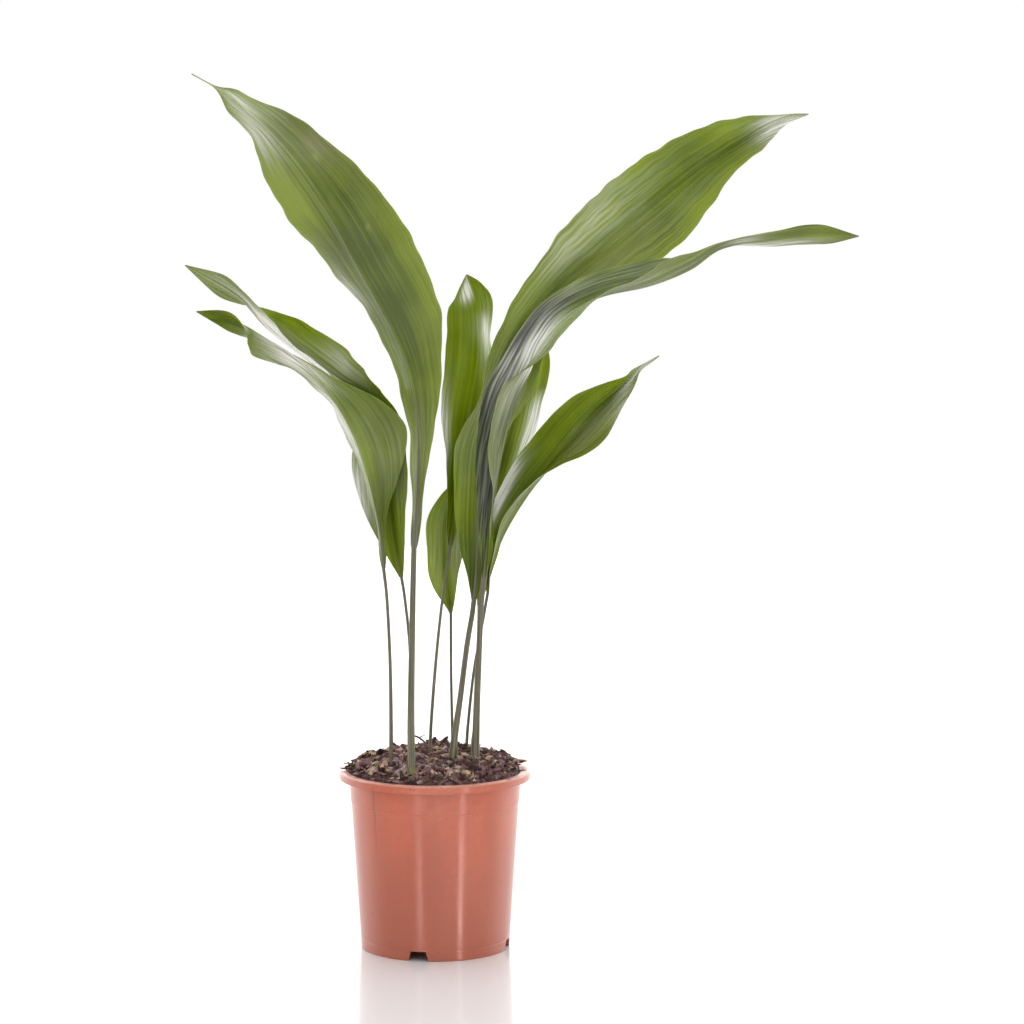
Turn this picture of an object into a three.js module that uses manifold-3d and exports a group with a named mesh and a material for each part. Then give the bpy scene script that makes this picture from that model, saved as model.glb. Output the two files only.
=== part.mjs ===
// A potted cast iron plant: nine leaves on long stalks, in a plastic nursery pot of bark compost.
// Millimetres, +Z up. The origin is on the pot's axis where it stands, and the viewer is toward -Y.

import * as THREE from 'three';
import { mergeVertices } from 'three/addons/utils/BufferGeometryUtils.js';
import Module from 'manifold-3d';

const wasm = await Module();
wasm.setup();

// Driving dimensions

const GAP = 0.3; // clearance between pieces that touch

const POT = {
  rimRadius: 85, // a 17 cm nursery pot
  height: 159,
  flangeWidth: 8.6,
  skirtHeight: 7,
  wall: 1.5,
  neckRadius: 76.4, // outside, under the rim flange
  footRadius: 66,
  footRing: 2,
  floorHeight: 9.5,
  stepHeight: 131,
  stepDepth: 0.6,
  grooveDepth: 0.5,
  centreFootRadius: 10,
  centreFootFlare: 10,
  segments: 50,
};

const NOTCH = {
  count: 4,
  firstAngle: -12, // degrees from the viewer's side, to the right
  bottomWidth: 19,
  topWidth: 13.5,
  height: 8.6,
  holeWidth: 11,
  holeDepth: 9,
};

const COMPOST = {
  edgeHeight: 161,
  crownHeight: 170.5,
  heap: { x: -4, y: 28, height: 6, radius: 15 }, // a small heap behind the stalks
  chips: 44,
  chipReach: 70,
  rimChips: 11, // chips that lie out over the rim
  seed: 29,
  segments: 36,
  rings: 7,
};

const BLADE = {
  thickness: 0.8,
  rowStep: 15,
  ribHalfWidth: 1.5,
  ribHeight: 0.7,
  ribReach: 2.4,
  pleat: 0.5,
  waveLength: 62,
  waveHeight: 1.2,
};

const STALK = {
  sides: 8,
  rowStep: 22,
  footHeight: 140,
};

const SHEATH = {
  wall: 0.7,
  gap: 0.4,
  halfArc: 160, // degrees each way from the side that faces away from the split
  slope: 0.6, // how far the top falls from its point to the split, as a share of the height
  arcPoints: 9,
  rows: 5,
};

// Each leaf is a stalk, as [x, y, z, radius] from the compost up, and a blade along its midrib, as
// [x, y, z, half width, right lift, left lift]. A lift is the angle in degrees by which that half of the
// blade bends from the viewer's picture plane toward the viewer. The stalk ends at the blade's first row.
// upper is 1 where the upper side faces the viewer at no lift, and -1 where the underside does.

const LEAVES = [
  {
    name: 'leaf_left_tall',
    colour: 0x6c7d45,
    upper: -1,
    phase: 0.4,
    stalkTop: 2.4,
    sheath: { top: 188, opening: -55 },
    stalk: [
      [-18.6, -62.5, 160, 3.4],
      [-19.4, -64.5, 197, 3.3],
      [-19.2, -67, 233, 3],
      [-18.1, -70.5, 286, 2.7],
      [-17.1, -74, 330, 2.5],
    ],
    blade: [
      [-16, -78, 367, 3, -30, -30],
      [-13, -80, 404, 9, -60, -60],
      [-12, -83, 440, 16, -60, -62],
      [-12, -87, 470, 22, -47, -66],
      [-18, -94, 517, 35, -38, -66],
      [-33, -103, 556, 45.7, -10, -72],
      [-61, -118, 609, 52.6, -10, -63],
      [-81, -130, 648, 49, -21, -49],
      [-106, -143, 688, 44, -40, -45],
      [-131, -155, 720, 34, -50, -61],
      [-156, -164, 745, 20, -62, -58],
      [-174, -170, 759, 2.2, -40, -40],
      [-195, -175, 771, 0.5, -20, -20],
    ],
  },
  {
    name: 'leaf_right_tall',
    colour: 0x7d9440,
    upper: 1,
    phase: 1.9,
    stalkTop: 2.3,
    sheath: { top: 196, opening: -120 },
    stalk: [
      [14.6, -22, 164, 3.4],
      [18.1, -21, 194, 3],
      [22.6, -20, 225, 2.6],
      [28.8, -17, 273, 2.4],
      [33.2, -13, 299, 2.3],
    ],
    blade: [
      [35, -12, 313, 3, 40, 40],
      [36.8, -11, 335.6, 9.2, 20, 30],
      [37.2, -10, 364.8, 17.5, -35, 24],
      [37.7, -8, 409.8, 24.2, -52, 33],
      [39, -6, 444.9, 29.7, -46, 47],
      [44.8, -2, 488.7, 35.9, -22, 80],
      [65, 7, 537, 40, 36, 67],
      [104, 23, 581, 42, 50, 46],
      [147, 42, 616, 43, 40, 18],
      [194, 64, 654, 43.7, 31, 10],
      [240, 86, 690, 36.1, 55, 10],
      [283, 104, 718, 23, 55, 30],
      [311, 112, 733, 7, 30, 40],
      [337, 118, 739, 0.5, 20, 20],
    ],
  },
  {
    name: 'leaf_right_twisted',
    colour: 0x6f7d63,
    upper: 1,
    phase: 3.1,
    stalkTop: 2.4,
    sheath: { top: 199, opening: -40 },
    stalk: [
      [36.2, -22, 164, 3.4],
      [36.7, -22, 194, 3.3],
      [37.6, -23, 225, 3],
      [39.9, -24, 279, 2.6],
      [41.3, -25, 310, 2.5],
    ],
    blade: [
      [44, -27, 335, 3, 60, 60],
      [48.6, -32, 377, 9.5, 84.5, 8.6],
      [53.7, -38, 413, 16.9, 97, -10.2],
      [62.2, -46, 457.8, 26.5, 120.7, -17.7],
      [72.5, -53, 493, 31, 120.8, -27.2],
      [84, -58, 518.7, 30.5, 108.4, -31.5],
      [94.4, -63, 543.3, 31.3, 76.9, -50.2],
      [111, -69, 565, 33, 73, -52],
      [144, -78, 583, 29, 90, -48],
      [186, -86, 593, 25, 118, -28],
      [220, -92, 607, 17, 150, -55],
      [247, -96, 625, 6.5, 150, -90],
      [287, -102, 632, 8.5, 150, -128],
      [327, -108, 636, 10.5, 158, -135],
      [361, -114, 636, 0.5, 160, -160],
    ],
  },
  {
    name: 'leaf_left_front',
    colour: 0x747f52,
    upper: -1,
    phase: 0.9,
    stalkTop: 1.5,
    stalk: [
      [-38.2, -30, 164, 1.9],
      [-38, -30, 208, 1.7],
      [-38.7, -30, 262, 1.5],
      [-41.1, -31, 315, 1.4],
    ],
    blade: [
      [-44, -31, 343, 2, -40, -40],
      [-46.9, -32, 375.7, 11.2, -63, -76],
      [-52.4, -34, 405.3, 25.3, -46, -79],
      [-58.5, -37, 430.3, 37.8, -22, -77],
      [-64.3, -40.5, 449.6, 45.7, -16, -77],
      [-70.2, -44, 464.6, 41.1, -21, -77],
      [-82.7, -54, 489.6, 26.8, -49, -71],
      [-102.3, -66, 517.1, 17.6, -85, -54],
      [-121.2, -78, 534.4, 18.7, -98, -34],
      [-138.1, -86, 545.7, 22.6, -109, -33],
      [-148.7, -91, 552.6, 14, -132, 8],
      [-158.3, -95, 558.8, 11, -155, 75],
      [-175, -100, 566, 8.5, -180, 140],
      [-199, -106, 572, 0.5, -180, 160],
    ],
  },
  {
    name: 'leaf_left_back',
    colour: 0x7fa32c,
    upper: 1,
    phase: 2.4,
    stalkTop: 1.4,
    stalk: [
      [-21.6, -25, 163, 1.8],
      [-20.6, -24, 207, 1.6],
      [-21.4, -20, 269, 1.4],
      [-25.8, -15, 313, 1.3],
    ],
    blade: [
      [-29, -12, 333, 2, 40, 30],
      [-33, -8, 357, 12, 55, 20],
      [-37, 0, 391, 25, 57, 5],
      [-39, 9, 426, 34, 64, 0],
      [-37, 19, 460, 36.1, 74, 41],
      [-50.1, 29, 481.6, 35.2, 69, 86],
      [-66.7, 35, 492.2, 34.3, 47, 96],
      [-86.6, 41, 501.5, 35.7, 34, 100],
      [-114, 49, 520, 31.9, 24, 100],
      [-136.3, 56, 536.2, 26.4, 18, 110],
      [-153.6, 61, 550.7, 17, 4, 121],
      [-164, 64, 562.6, 11, -50, 135],
      [-175, 67, 574, 9, -122, 148],
      [-193, 71, 586, 11, -150, 155],
      [-225, 76, 604, 0.5, -160, 160],
    ],
  },
  {
    name: 'leaf_middle_tall',
    colour: 0x6f9420,
    upper: 1,
    phase: 4.2,
    stalkTop: 1.4,
    stalk: [
      [-4.6, 4, 165, 1.6],
      [-3.6, 4, 198, 1.5],
      [1, 3, 257, 1.4],
      [6.4, 3, 308, 1.3],
      [11.8, 4, 344, 1.3],
    ],
    blade: [
      [14, 5, 359, 2, 30, 30],
      [17, 8, 399, 12, 30, 62],
      [22, 12, 434, 19, 20, 50],
      [29.5, 18, 476.5, 25.5, -12, 18],
      [36.6, 26, 513.2, 28.5, -55, 8],
      [37.9, 33, 543.8, 27.8, -64, 10],
      [36.5, 39, 570.2, 25.2, -57, 14],
      [32, 43, 585.1, 13, -34, 22],
      [28, 45, 597, 0.5, 10, 10],
    ],
  },
  {
    name: 'leaf_middle_short',
    colour: 0x7a9d30,
    upper: 1,
    phase: 5.2,
    stalkTop: 1.3,
    stalk: [
      [15.9, 4, 165, 1.5],
      [15.1, 6, 202, 1.3],
      [14.2, 11, 247, 1.2],
    ],
    blade: [
      [14, 19, 297, 1.8, 45, 45],
      [11, 21, 322, 14, 50, 19],
      [9, 24, 348, 20, 40, 40],
      [10, 28, 375, 21, 40, 31],
      [15, 33, 395, 15, 40, 40],
      [24, 39, 408, 8, 30, 40],
      [35, 44, 419, 0.5, 20, 20],
    ],
  },
  {
    name: 'leaf_right_low',
    colour: 0x7f9a2a,
    upper: 1,
    phase: 1.2,
    stalkTop: 1.4,
    stalk: [
      [27.2, 30, 164, 1.5],
      [29, 29, 194, 1.4],
      [34.5, 25, 244, 1.3],
      [42.7, 17, 291, 1.3],
    ],
    blade: [
      [47, 13, 316, 1.9, 50, 50],
      [49, 13, 333, 5, 95, 30],
      [57, 14, 358, 14, 108, 10],
      [68, 16, 380, 21, 112, 5],
      [85, 20, 406, 26, 105, -12],
      [105, 25, 430, 29, 80, -10],
      [135, 34, 467, 26.2, 34, 10],
      [159, 41, 490, 17, 50, 39],
      [173, 46, 503, 9, 46, 55],
      [184, 50, 513, 3, 71, 0],
      [200, 54, 524, 0.5, 20, 0],
    ],
  },
  {
    name: 'leaf_right_back',
    colour: 0x839a3a,
    upper: 1,
    phase: 3.7,
    stalkTop: 1.4,
    stalk: [
      [38.2, 2, 165, 1.6],
      [38.2, 3, 203, 1.5],
      [38.3, 6, 256, 1.4],
      [38.8, 13, 288, 1.4],
    ],
    blade: [
      [39, 18, 304, 1.9, 30, 30],
      [45, 26, 339, 8, -20, 20],
      [54, 35, 383, 17, -50, 12],
      [65, 46, 427, 25, -62, 10],
      [76, 57, 471, 27, -52, 12],
      [84, 67, 511, 24, -40, 20],
      [88, 75, 541, 14, -30, 30],
      [90, 81, 565, 0.5, 0, 0],
    ],
  },
];

// Helpers

const TOWARD_BACK = new THREE.Vector3(0, 1, 0);

// A small seeded random source, so that the compost is the same every time.
function randomSource(seed) {
  let state = seed;
  return (low, high) => {
    state = (Math.imul(state, 1664525) + 1013904223) >>> 0;
    return low + (high - low) * (state / 4294967296);
  };
}

// A closed skin over rings of an equal, even number of points. The ends are closed by strips between the
// first and second half of the ring, so a ring can be a round section or the two faces of a thin sheet.
function loft(rings) {
  const count = rings[0].length;
  const half = count / 2;
  const last = rings.length - 1;
  const at = (k, i) => k * count + (i % count);
  const index = [];
  for (let k = 0; k < last; k++) {
    for (let i = 0; i < count; i++) {
      const [a, b, c, d] = [at(k, i), at(k, i + 1), at(k + 1, i + 1), at(k + 1, i)];
      // The two faces of a sheet take the same diagonal.
      if (i < half) index.push(a, b, c, a, c, d);
      else index.push(a, b, d, b, c, d);
    }
  }
  for (let i = 0; i < half - 1; i++) {
    const pair = (k) => [at(k, i), at(k, i + 1), at(k, count - 2 - i), at(k, count - 1 - i)];
    const [a, b, c, d] = pair(0);
    index.push(a, c, b, a, d, c);
    const [e, f, g, h] = pair(last);
    index.push(e, f, g, e, g, h);
  }
  const geometry = new THREE.BufferGeometry();
  geometry.setFromPoints(rings.flat());
  geometry.setIndex(index);
  return geometry;
}

function toSolid(geometry) {
  const bare = geometry.clone();
  bare.deleteAttribute('normal');
  bare.deleteAttribute('uv');
  const merged = mergeVertices(bare, 1e-4);
  const corners = merged.index.array;
  const kept = [];
  for (let i = 0; i < corners.length; i += 3) {
    const [a, b, c] = corners.slice(i, i + 3);
    if (a !== b && b !== c && c !== a) kept.push(a, b, c);
  }
  return new wasm.Manifold(new wasm.Mesh({
    numProp: 3,
    vertProperties: new Float32Array(merged.attributes.position.array),
    triVerts: new Uint32Array(kept),
  }));
}

function toGeometry(solid) {
  const mesh = solid.getMesh();
  const geometry = new THREE.BufferGeometry();
  geometry.setAttribute('position', new THREE.BufferAttribute(mesh.vertProperties, 3));
  geometry.setIndex(new THREE.BufferAttribute(mesh.triVerts, 1));
  return geometry;
}

// A solid of revolution about +Z, from [radius, height] points that start and end on the axis.
function turned(profile, segments) {
  const points = profile.map(([r, z]) => new THREE.Vector2(r, z));
  return new THREE.LatheGeometry(points, segments).rotateX(Math.PI / 2);
}

function makeMesh(name, geometry, colour, roughness) {
  const bare = geometry.clone();
  bare.deleteAttribute('normal');
  bare.deleteAttribute('uv');
  const faceted = bare.toNonIndexed();
  faceted.computeVertexNormals();
  const material = new THREE.MeshStandardMaterial({ color: colour, roughness, metalness: 0 });
  const mesh = new THREE.Mesh(faceted, material);
  mesh.name = name;
  return mesh;
}

// Pot

function potRadius(z) {
  return THREE.MathUtils.lerp(POT.footRadius, POT.neckRadius, z / (POT.height - POT.skirtHeight));
}

function insideRadius(z) {
  return potRadius(z) - POT.wall;
}

const floorTop = POT.floorHeight + POT.wall;
const flangeUnderside = POT.height - 2.2;

function potProfile() {
  const { rimRadius: rim, height: top, wall, footRadius: foot, floorHeight: floor } = POT;
  const centre = POT.centreFootRadius;
  const flare = centre + POT.centreFootFlare;
  const step = POT.stepHeight;
  const inner = rim - POT.flangeWidth;
  return [
    [0, 0],
    [centre, 0],
    [flare, floor],
    [foot - POT.footRing - wall, floor],
    [foot - POT.footRing, 0],
    [foot, 0],
    [potRadius(floor - 0.8), floor - 0.8],
    [potRadius(floor) - POT.grooveDepth, floor],
    [potRadius(floor + 0.8), floor + 0.8],
    [potRadius(step) - POT.stepDepth / 2, step],
    [potRadius(step) + POT.stepDepth / 2, step + 0.7],
    [inner, flangeUnderside],
    [rim - wall - 0.2, flangeUnderside],
    [rim - wall, top - POT.skirtHeight],
    [rim - 0.2, top - POT.skirtHeight],
    [rim, top - POT.skirtHeight + 0.8],
    [rim, top - 1.6],
    [rim - 0.8, top - 0.4],
    [rim - 2.4, top],
    [inner + 2, top],
    [inner + 0.2, top - 0.6],
    [inner - 1, top - 2],
    [insideRadius(top - 9), top - 9],
    [insideRadius(floorTop + 1.4), floorTop + 1.4],
    [insideRadius(floorTop) - 1.4, floorTop],
    [flare + 1.2, floorTop],
    [centre + 0.9, wall],
    [0, wall],
  ];
}

// A drain notch through the foot ring, and the hole that it opens in the edge of the floor.
function notchCutter(angle) {
  const { bottomWidth, topWidth, height, holeWidth, holeDepth } = NOTCH;
  const outline = new THREE.Shape([
    new THREE.Vector2(-bottomWidth / 2, -1),
    new THREE.Vector2(bottomWidth / 2, -1),
    new THREE.Vector2(topWidth / 2, height),
    new THREE.Vector2(-topWidth / 2, height),
  ]);
  const ringDepth = POT.footRing + POT.wall + 8;
  const outer = POT.footRadius + 4;
  const notch = new THREE.ExtrudeGeometry(outline, { depth: ringDepth, bevelEnabled: false });
  notch.rotateX(Math.PI / 2);
  notch.translate(0, ringDepth - outer, 0);
  const hole = new THREE.BoxGeometry(holeWidth, holeDepth, POT.wall + 4);
  const holeOuter = insideRadius(floorTop) - 4;
  hole.translate(0, holeDepth / 2 - holeOuter, POT.floorHeight + POT.wall / 2);
  const turn = THREE.MathUtils.degToRad(angle);
  return toSolid(notch.rotateZ(turn)).add(toSolid(hole.rotateZ(turn)));
}

function buildPot() {
  let pot = toSolid(turned(potProfile(), POT.segments));
  for (let i = 0; i < NOTCH.count; i++) {
    pot = pot.subtract(notchCutter(NOTCH.firstAngle + i * (360 / NOTCH.count)));
  }
  return makeMesh('pot', toGeometry(pot), 0xba6955, 0.35);
}

// Compost

// The room inside the pot and above its rim that compost can fill.
function roomProfile() {
  const inner = POT.rimRadius - POT.flangeWidth;
  const above = POT.height + GAP + 0.1;
  const centre = POT.centreFootRadius;
  return [
    [0, POT.wall + GAP],
    [centre + 0.6, POT.wall + GAP],
    [centre + POT.centreFootFlare + 0.9, floorTop + GAP],
    [insideRadius(floorTop) - 1.6, floorTop + GAP],
    [insideRadius(floorTop + 1.4) - GAP, floorTop + 1.6],
    [insideRadius(POT.height - 9) - GAP, POT.height - 9],
    [inner - 1.4, POT.height - 2.2],
    [inner - 0.1, above - 0.7],
    [inner + 2, above],
    [POT.rimRadius - 0.5, above],
    [POT.rimRadius - 0.5, above + 30],
    [0, above + 30],
  ];
}

function compostHeight(x, y) {
  const { heap } = COMPOST;
  const reach = Math.min(1, Math.hypot(x, y) / insideRadius(POT.height));
  const crown = THREE.MathUtils.lerp(COMPOST.crownHeight, COMPOST.edgeHeight, reach ** 5);
  const lumps = 1.3 * Math.sin(x / 8 + 1) * Math.cos(y / 10) + 0.9 * Math.sin((x + 2 * y) / 9);
  const heapAway = Math.hypot(x - heap.x, y - heap.y) / heap.radius;
  return crown + heap.height * Math.exp(-(heapAway ** 2)) + lumps * (1 - reach ** 4);
}

function mound() {
  const edge = insideRadius(POT.height);
  const { rings } = COMPOST;
  const profile = roomProfile().slice(0, 6);
  for (let i = 0; i <= rings; i++) {
    profile.push([edge * (1 - i / rings) - (i < rings ? GAP : 0), COMPOST.edgeHeight]);
  }
  const geometry = turned(profile, COMPOST.segments);
  const position = geometry.attributes.position;
  for (let i = 0; i < position.count; i++) {
    if (position.getZ(i) > COMPOST.edgeHeight - 1) {
      position.setZ(i, compostHeight(position.getX(i), position.getY(i)));
    }
  }
  return toSolid(geometry);
}

// A bark chip: a short split billet with one end narrower than the other.
function barkChip(random) {
  const length = random(8, 17);
  const chip = new THREE.BoxGeometry(length, random(4, 8), random(2, 4.5), 2, 1, 1);
  const taper = random(0.35, 0.8);
  const bend = random(-1.5, 1.5);
  const position = chip.attributes.position;
  for (let i = 0; i < position.count; i++) {
    const along = position.getX(i) / (length / 2);
    const scale = along > 0 ? 1 - (1 - taper) * along : 1 + 0.25 * along;
    position.setY(i, position.getY(i) * scale);
    position.setZ(i, position.getZ(i) * scale + bend * (1 - along * along));
  }
  chip.rotateX(random(-0.7, 0.7));
  chip.rotateY(random(-0.45, 0.45));
  return chip;
}

function scatteredChip(random) {
  const radius = COMPOST.chipReach * Math.sqrt(random(0.01, 1));
  const angle = random(0, Math.PI * 2);
  const x = radius * Math.cos(angle);
  const y = radius * Math.sin(angle);
  const chip = barkChip(random).rotateZ(random(0, Math.PI * 2));
  chip.translate(x, y, compostHeight(x, y) + random(-0.3, 1.6));
  return toSolid(chip);
}

// A chip half in the compost at its edge and half out over the rim.
function rimChip(random, place) {
  const angle = Math.PI * 2 * (place + random(-0.03, 0.03));
  const radius = random(72, 76);
  const chip = barkChip(random).rotateZ(angle + random(-0.6, 0.6));
  chip.translate(radius * Math.cos(angle), radius * Math.sin(angle), COMPOST.edgeHeight + random(0.6, 2.6));
  return toSolid(chip);
}

// Stalks and sheaths

function leafSpine(leaf) {
  return new THREE.CatmullRomCurve3(leaf.blade.map(([x, y, z]) => new THREE.Vector3(x, y, z)), false,
    'catmullrom', 0.5);
}

// Two directions across a curve: to the viewer's right, and toward the viewer.
function across(tangent) {
  const right = TOWARD_BACK.clone().cross(tangent).normalize();
  const front = right.clone().cross(tangent).normalize();
  return { right, front };
}

// The stalk's centre line and radii, from its foot in the compost to the blade. lower takes the foot
// further down, for the hole that the stalk stands in.
function stalkStations(leaf, lower) {
  const [first, second] = leaf.stalk;
  const [x, y, z] = leaf.blade[0];
  const footHeight = STALK.footHeight - lower;
  const down = (footHeight - first[2]) / (second[2] - first[2]);
  const foot = first.map((value, i) => value + (second[i] - value) * down);
  const rows = [
    [foot[0], foot[1], footHeight, first[3]],
    ...leaf.stalk,
    [x, y, z, leaf.stalkTop],
  ];
  const centres = new THREE.CatmullRomCurve3(rows.map(([px, py, pz]) => new THREE.Vector3(px, py, pz)),
    false, 'catmullrom', 0.5);
  const radii = rows.map((row) => row[3]);
  return { centres, radii };
}

function radiusAt(radii, t) {
  const place = t * (radii.length - 1);
  const low = Math.min(Math.floor(place), radii.length - 2);
  return THREE.MathUtils.lerp(radii[low], radii[low + 1], place - low);
}

function roundRing(centre, tangent, radius) {
  const { right, front } = across(tangent);
  const ring = [];
  for (let i = 0; i < STALK.sides; i++) {
    const angle = ((i + 0.5) / STALK.sides) * Math.PI * 2;
    ring.push(centre.clone()
      .addScaledVector(front, radius * Math.cos(angle))
      .addScaledVector(right, radius * Math.sin(angle)));
  }
  return ring;
}

function stalkGeometry(leaf) {
  const { centres, radii } = stalkStations(leaf, 0);
  const rows = Math.round(centres.getLength() / STALK.rowStep);
  const endTangent = leafSpine(leaf).getTangent(0);
  const rings = [];
  for (let k = 0; k <= rows; k++) {
    const t = centres.getUtoTmapping(k / rows);
    const centre = centres.getPoint(t);
    const atEnd = k === rows;
    if (atEnd) centre.addScaledVector(endTangent, -GAP / 2);
    const up = k === 0 ? new THREE.Vector3(0, 0, 1) : centres.getTangent(t);
    rings.push(roundRing(centre, atEnd ? endTangent : up, radiusAt(radii, t)));
  }
  return loft(rings);
}

// The corner radius of a sheath whose flats clear the stalk.
function sheathInside(radius) {
  const halfStep = THREE.MathUtils.degToRad(SHEATH.halfArc / (SHEATH.arcPoints - 1));
  return (radius + SHEATH.gap) / Math.cos(halfStep);
}

// The plain hole that a stalk, and its sheath where it has one, stands in.
function stalkHole(leaf) {
  const flats = Math.cos(Math.PI / STALK.sides);
  const { centres, radii } = stalkStations(leaf, GAP);
  const holeRadius = (radius) => {
    if (!leaf.sheath) return radius + GAP / flats;
    return (sheathInside(radius) + SHEATH.wall + GAP) / flats;
  };
  const rings = [];
  const steps = 10;
  const top = 0.3; // the part of the stalk's length that the compost can reach
  for (let k = 0; k <= steps; k++) {
    const t = centres.getUtoTmapping((top * k) / steps);
    const up = k === 0 ? new THREE.Vector3(0, 0, 1) : centres.getTangent(t);
    rings.push(roundRing(centres.getPoint(t), up, holeRadius(radiusAt(radii, t))));
  }
  return toSolid(loft(rings));
}

// A sheath scale hugs the foot of a thick stalk. It is split down one side and pointed opposite the split.
function sheathGeometry(leaf) {
  const { centres, radii } = stalkStations(leaf, 0);
  const split = THREE.MathUtils.degToRad(leaf.sheath.opening);
  const placeAt = (z) => {
    let [low, high] = [0, 1];
    for (let step = 0; step < 30; step++) {
      const middle = (low + high) / 2;
      if (centres.getPoint(middle).z < z) low = middle;
      else high = middle;
    }
    return low;
  };
  const wallPoint = (swing, share, outward) => {
    const reach = 1 - SHEATH.slope * Math.abs(swing) ** 0.8;
    const top = THREE.MathUtils.lerp(STALK.footHeight, leaf.sheath.top, reach);
    const z = THREE.MathUtils.lerp(STALK.footHeight, top, share);
    const place = placeAt(Math.max(z, STALK.footHeight + 0.01));
    const centre = centres.getPoint(place);
    const radius = sheathInside(radiusAt(radii, place)) + outward;
    const angle = split + Math.PI + swing * THREE.MathUtils.degToRad(SHEATH.halfArc);
    return new THREE.Vector3(centre.x + radius * Math.cos(angle), centre.y + radius * Math.sin(angle), z);
  };
  const swings = Array.from({ length: SHEATH.arcPoints }, (_, i) => 2 * (i / (SHEATH.arcPoints - 1)) - 1);
  const rings = [];
  for (let k = 0; k <= SHEATH.rows; k++) {
    const share = k / SHEATH.rows;
    const outside = swings.map((swing) => wallPoint(swing, share, SHEATH.wall));
    const inside = swings.map((swing) => wallPoint(-swing, share, 0));
    rings.push([...outside, ...inside]);
  }
  return loft(rings);
}

// Blades

// Distances across half a blade, from the midrib to the edge, and how far a pleat lifts each.
function halfColumns(halfWidth) {
  const rib = Math.min(BLADE.ribHalfWidth, 0.3 * halfWidth);
  const pleat = BLADE.pleat * Math.min(1, halfWidth / 25);
  return [
    { reach: rib, lift: 0 },
    { reach: rib + (halfWidth - rib) * 0.36, lift: pleat },
    { reach: rib + (halfWidth - rib) * 0.7, lift: -pleat },
    { reach: halfWidth, lift: 0 },
  ];
}

// One row of the blade's middle surface, from the left edge to the right edge.
function bladeRow(leaf, spine, shape, share, along) {
  const t = spine.getUtoTmapping(share);
  const centre = spine.getPoint(t);
  const { right, front } = across(spine.getTangent(t));
  const { x: halfWidth, y: rightLift, z: leftLift } = shape.getPoint(t);
  const wide = Math.max(halfWidth, 0.5);
  const columns = halfColumns(wide);
  const waveHeight = BLADE.waveHeight * Math.min(1, wide / 25);
  const side = (sign, liftDegrees) => {
    const lift = THREE.MathUtils.degToRad(liftDegrees);
    const outward = right.clone().multiplyScalar(sign * Math.cos(lift))
      .addScaledVector(front, Math.sin(lift));
    const normal = right.clone().multiplyScalar(-sign * Math.sin(lift))
      .addScaledVector(front, Math.cos(lift));
    const swing = leaf.phase + (sign < 0 ? 1.3 : 0);
    const wave = waveHeight * Math.sin((2 * Math.PI * along) / BLADE.waveLength + swing);
    return columns.map(({ reach, lift: raise }) => ({
      point: centre.clone().addScaledVector(outward, reach)
        .addScaledVector(normal, raise + wave * (reach / wide) ** 2),
      normal,
      reach,
    }));
  };
  const leftHalf = side(-1, leftLift).reverse();
  const rightHalf = side(1, rightLift);
  const middleNormal = leftHalf[0].normal.clone().add(rightHalf[0].normal).normalize();
  return [...leftHalf, { point: centre, normal: middleNormal, reach: 0 }, ...rightHalf];
}

function surfaceNormal(rows, k, i) {
  const row = rows[k];
  const over = row[Math.min(i + 1, row.length - 1)].point.clone().sub(row[Math.max(i - 1, 0)].point);
  const up = rows[Math.min(k + 1, rows.length - 1)][i].point.clone().sub(rows[Math.max(k - 1, 0)][i].point);
  return over.cross(up).normalize();
}

// The blade is a thin closed sheet. Its midrib stands out below, and its foot is as thick as the stalk.
function bladeGeometry(leaf) {
  const spine = leafSpine(leaf);
  const shape = new THREE.CatmullRomCurve3(leaf.blade.map(([, , , w, right, left]) => (
    new THREE.Vector3(w, right, left))), false, 'catmullrom', 0.5);
  const length = spine.getLength();
  const count = Math.max(11, Math.round(length / BLADE.rowStep));
  const startTangent = spine.getTangent(0);
  const rows = [];
  for (let k = 0; k <= count; k++) {
    rows.push(bladeRow(leaf, spine, shape, k / count, (k / count) * length));
  }
  for (const column of rows[0]) column.point.addScaledVector(startTangent, GAP / 2);
  const rings = rows.map((row, k) => {
    const nearFoot = Math.max(0, 1 - k / count / 0.16);
    const faces = { front: [], back: [] };
    row.forEach(({ point, normal: flat, reach }, i) => {
      const normal = k === 0 ? flat : surfaceNormal(rows, k, i);
      const footBulge = (leaf.stalkTop - BLADE.thickness / 2) * nearFoot;
      const ribBulge = BLADE.ribHeight * (1 - nearFoot);
      const fade = Math.max(0, 1 - (reach / BLADE.ribReach) ** 2);
      for (const face of ['front', 'back']) {
        const sign = face === 'front' ? 1 : -1;
        const below = sign !== leaf.upper;
        const depth = BLADE.thickness / 2 + fade * (footBulge + (below ? ribBulge : 0));
        faces[face].push(point.clone().addScaledVector(normal, sign * depth));
      }
    });
    return [...faces.front, ...faces.back.reverse()];
  });
  return loft(rings);
}

// Assembly

function buildCompost() {
  const random = randomSource(COMPOST.seed);
  let compost = mound();
  for (let i = 0; i < COMPOST.chips; i++) compost = compost.add(scatteredChip(random));
  for (let i = 0; i < COMPOST.rimChips; i++) {
    compost = compost.add(rimChip(random, i / COMPOST.rimChips));
  }
  compost = compost.intersect(toSolid(turned(roomProfile(), COMPOST.segments)));
  for (const leaf of LEAVES) compost = compost.subtract(stalkHole(leaf));
  return makeMesh('bark_compost', toGeometry(compost), 0x4b3730, 0.95);
}

const plant = new THREE.Group();
plant.add(buildPot(), buildCompost());
for (const leaf of LEAVES) {
  plant.add(makeMesh(`${leaf.name}_stalk`, stalkGeometry(leaf), 0x6d6b4c, 0.6));
  plant.add(makeMesh(`${leaf.name}_blade`, bladeGeometry(leaf), leaf.colour, 0.45));
  if (leaf.sheath) {
    plant.add(makeMesh(`${leaf.name}_sheath`, sheathGeometry(leaf), 0x7f7f3c, 0.7));
  }
}

export default plant;
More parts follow.
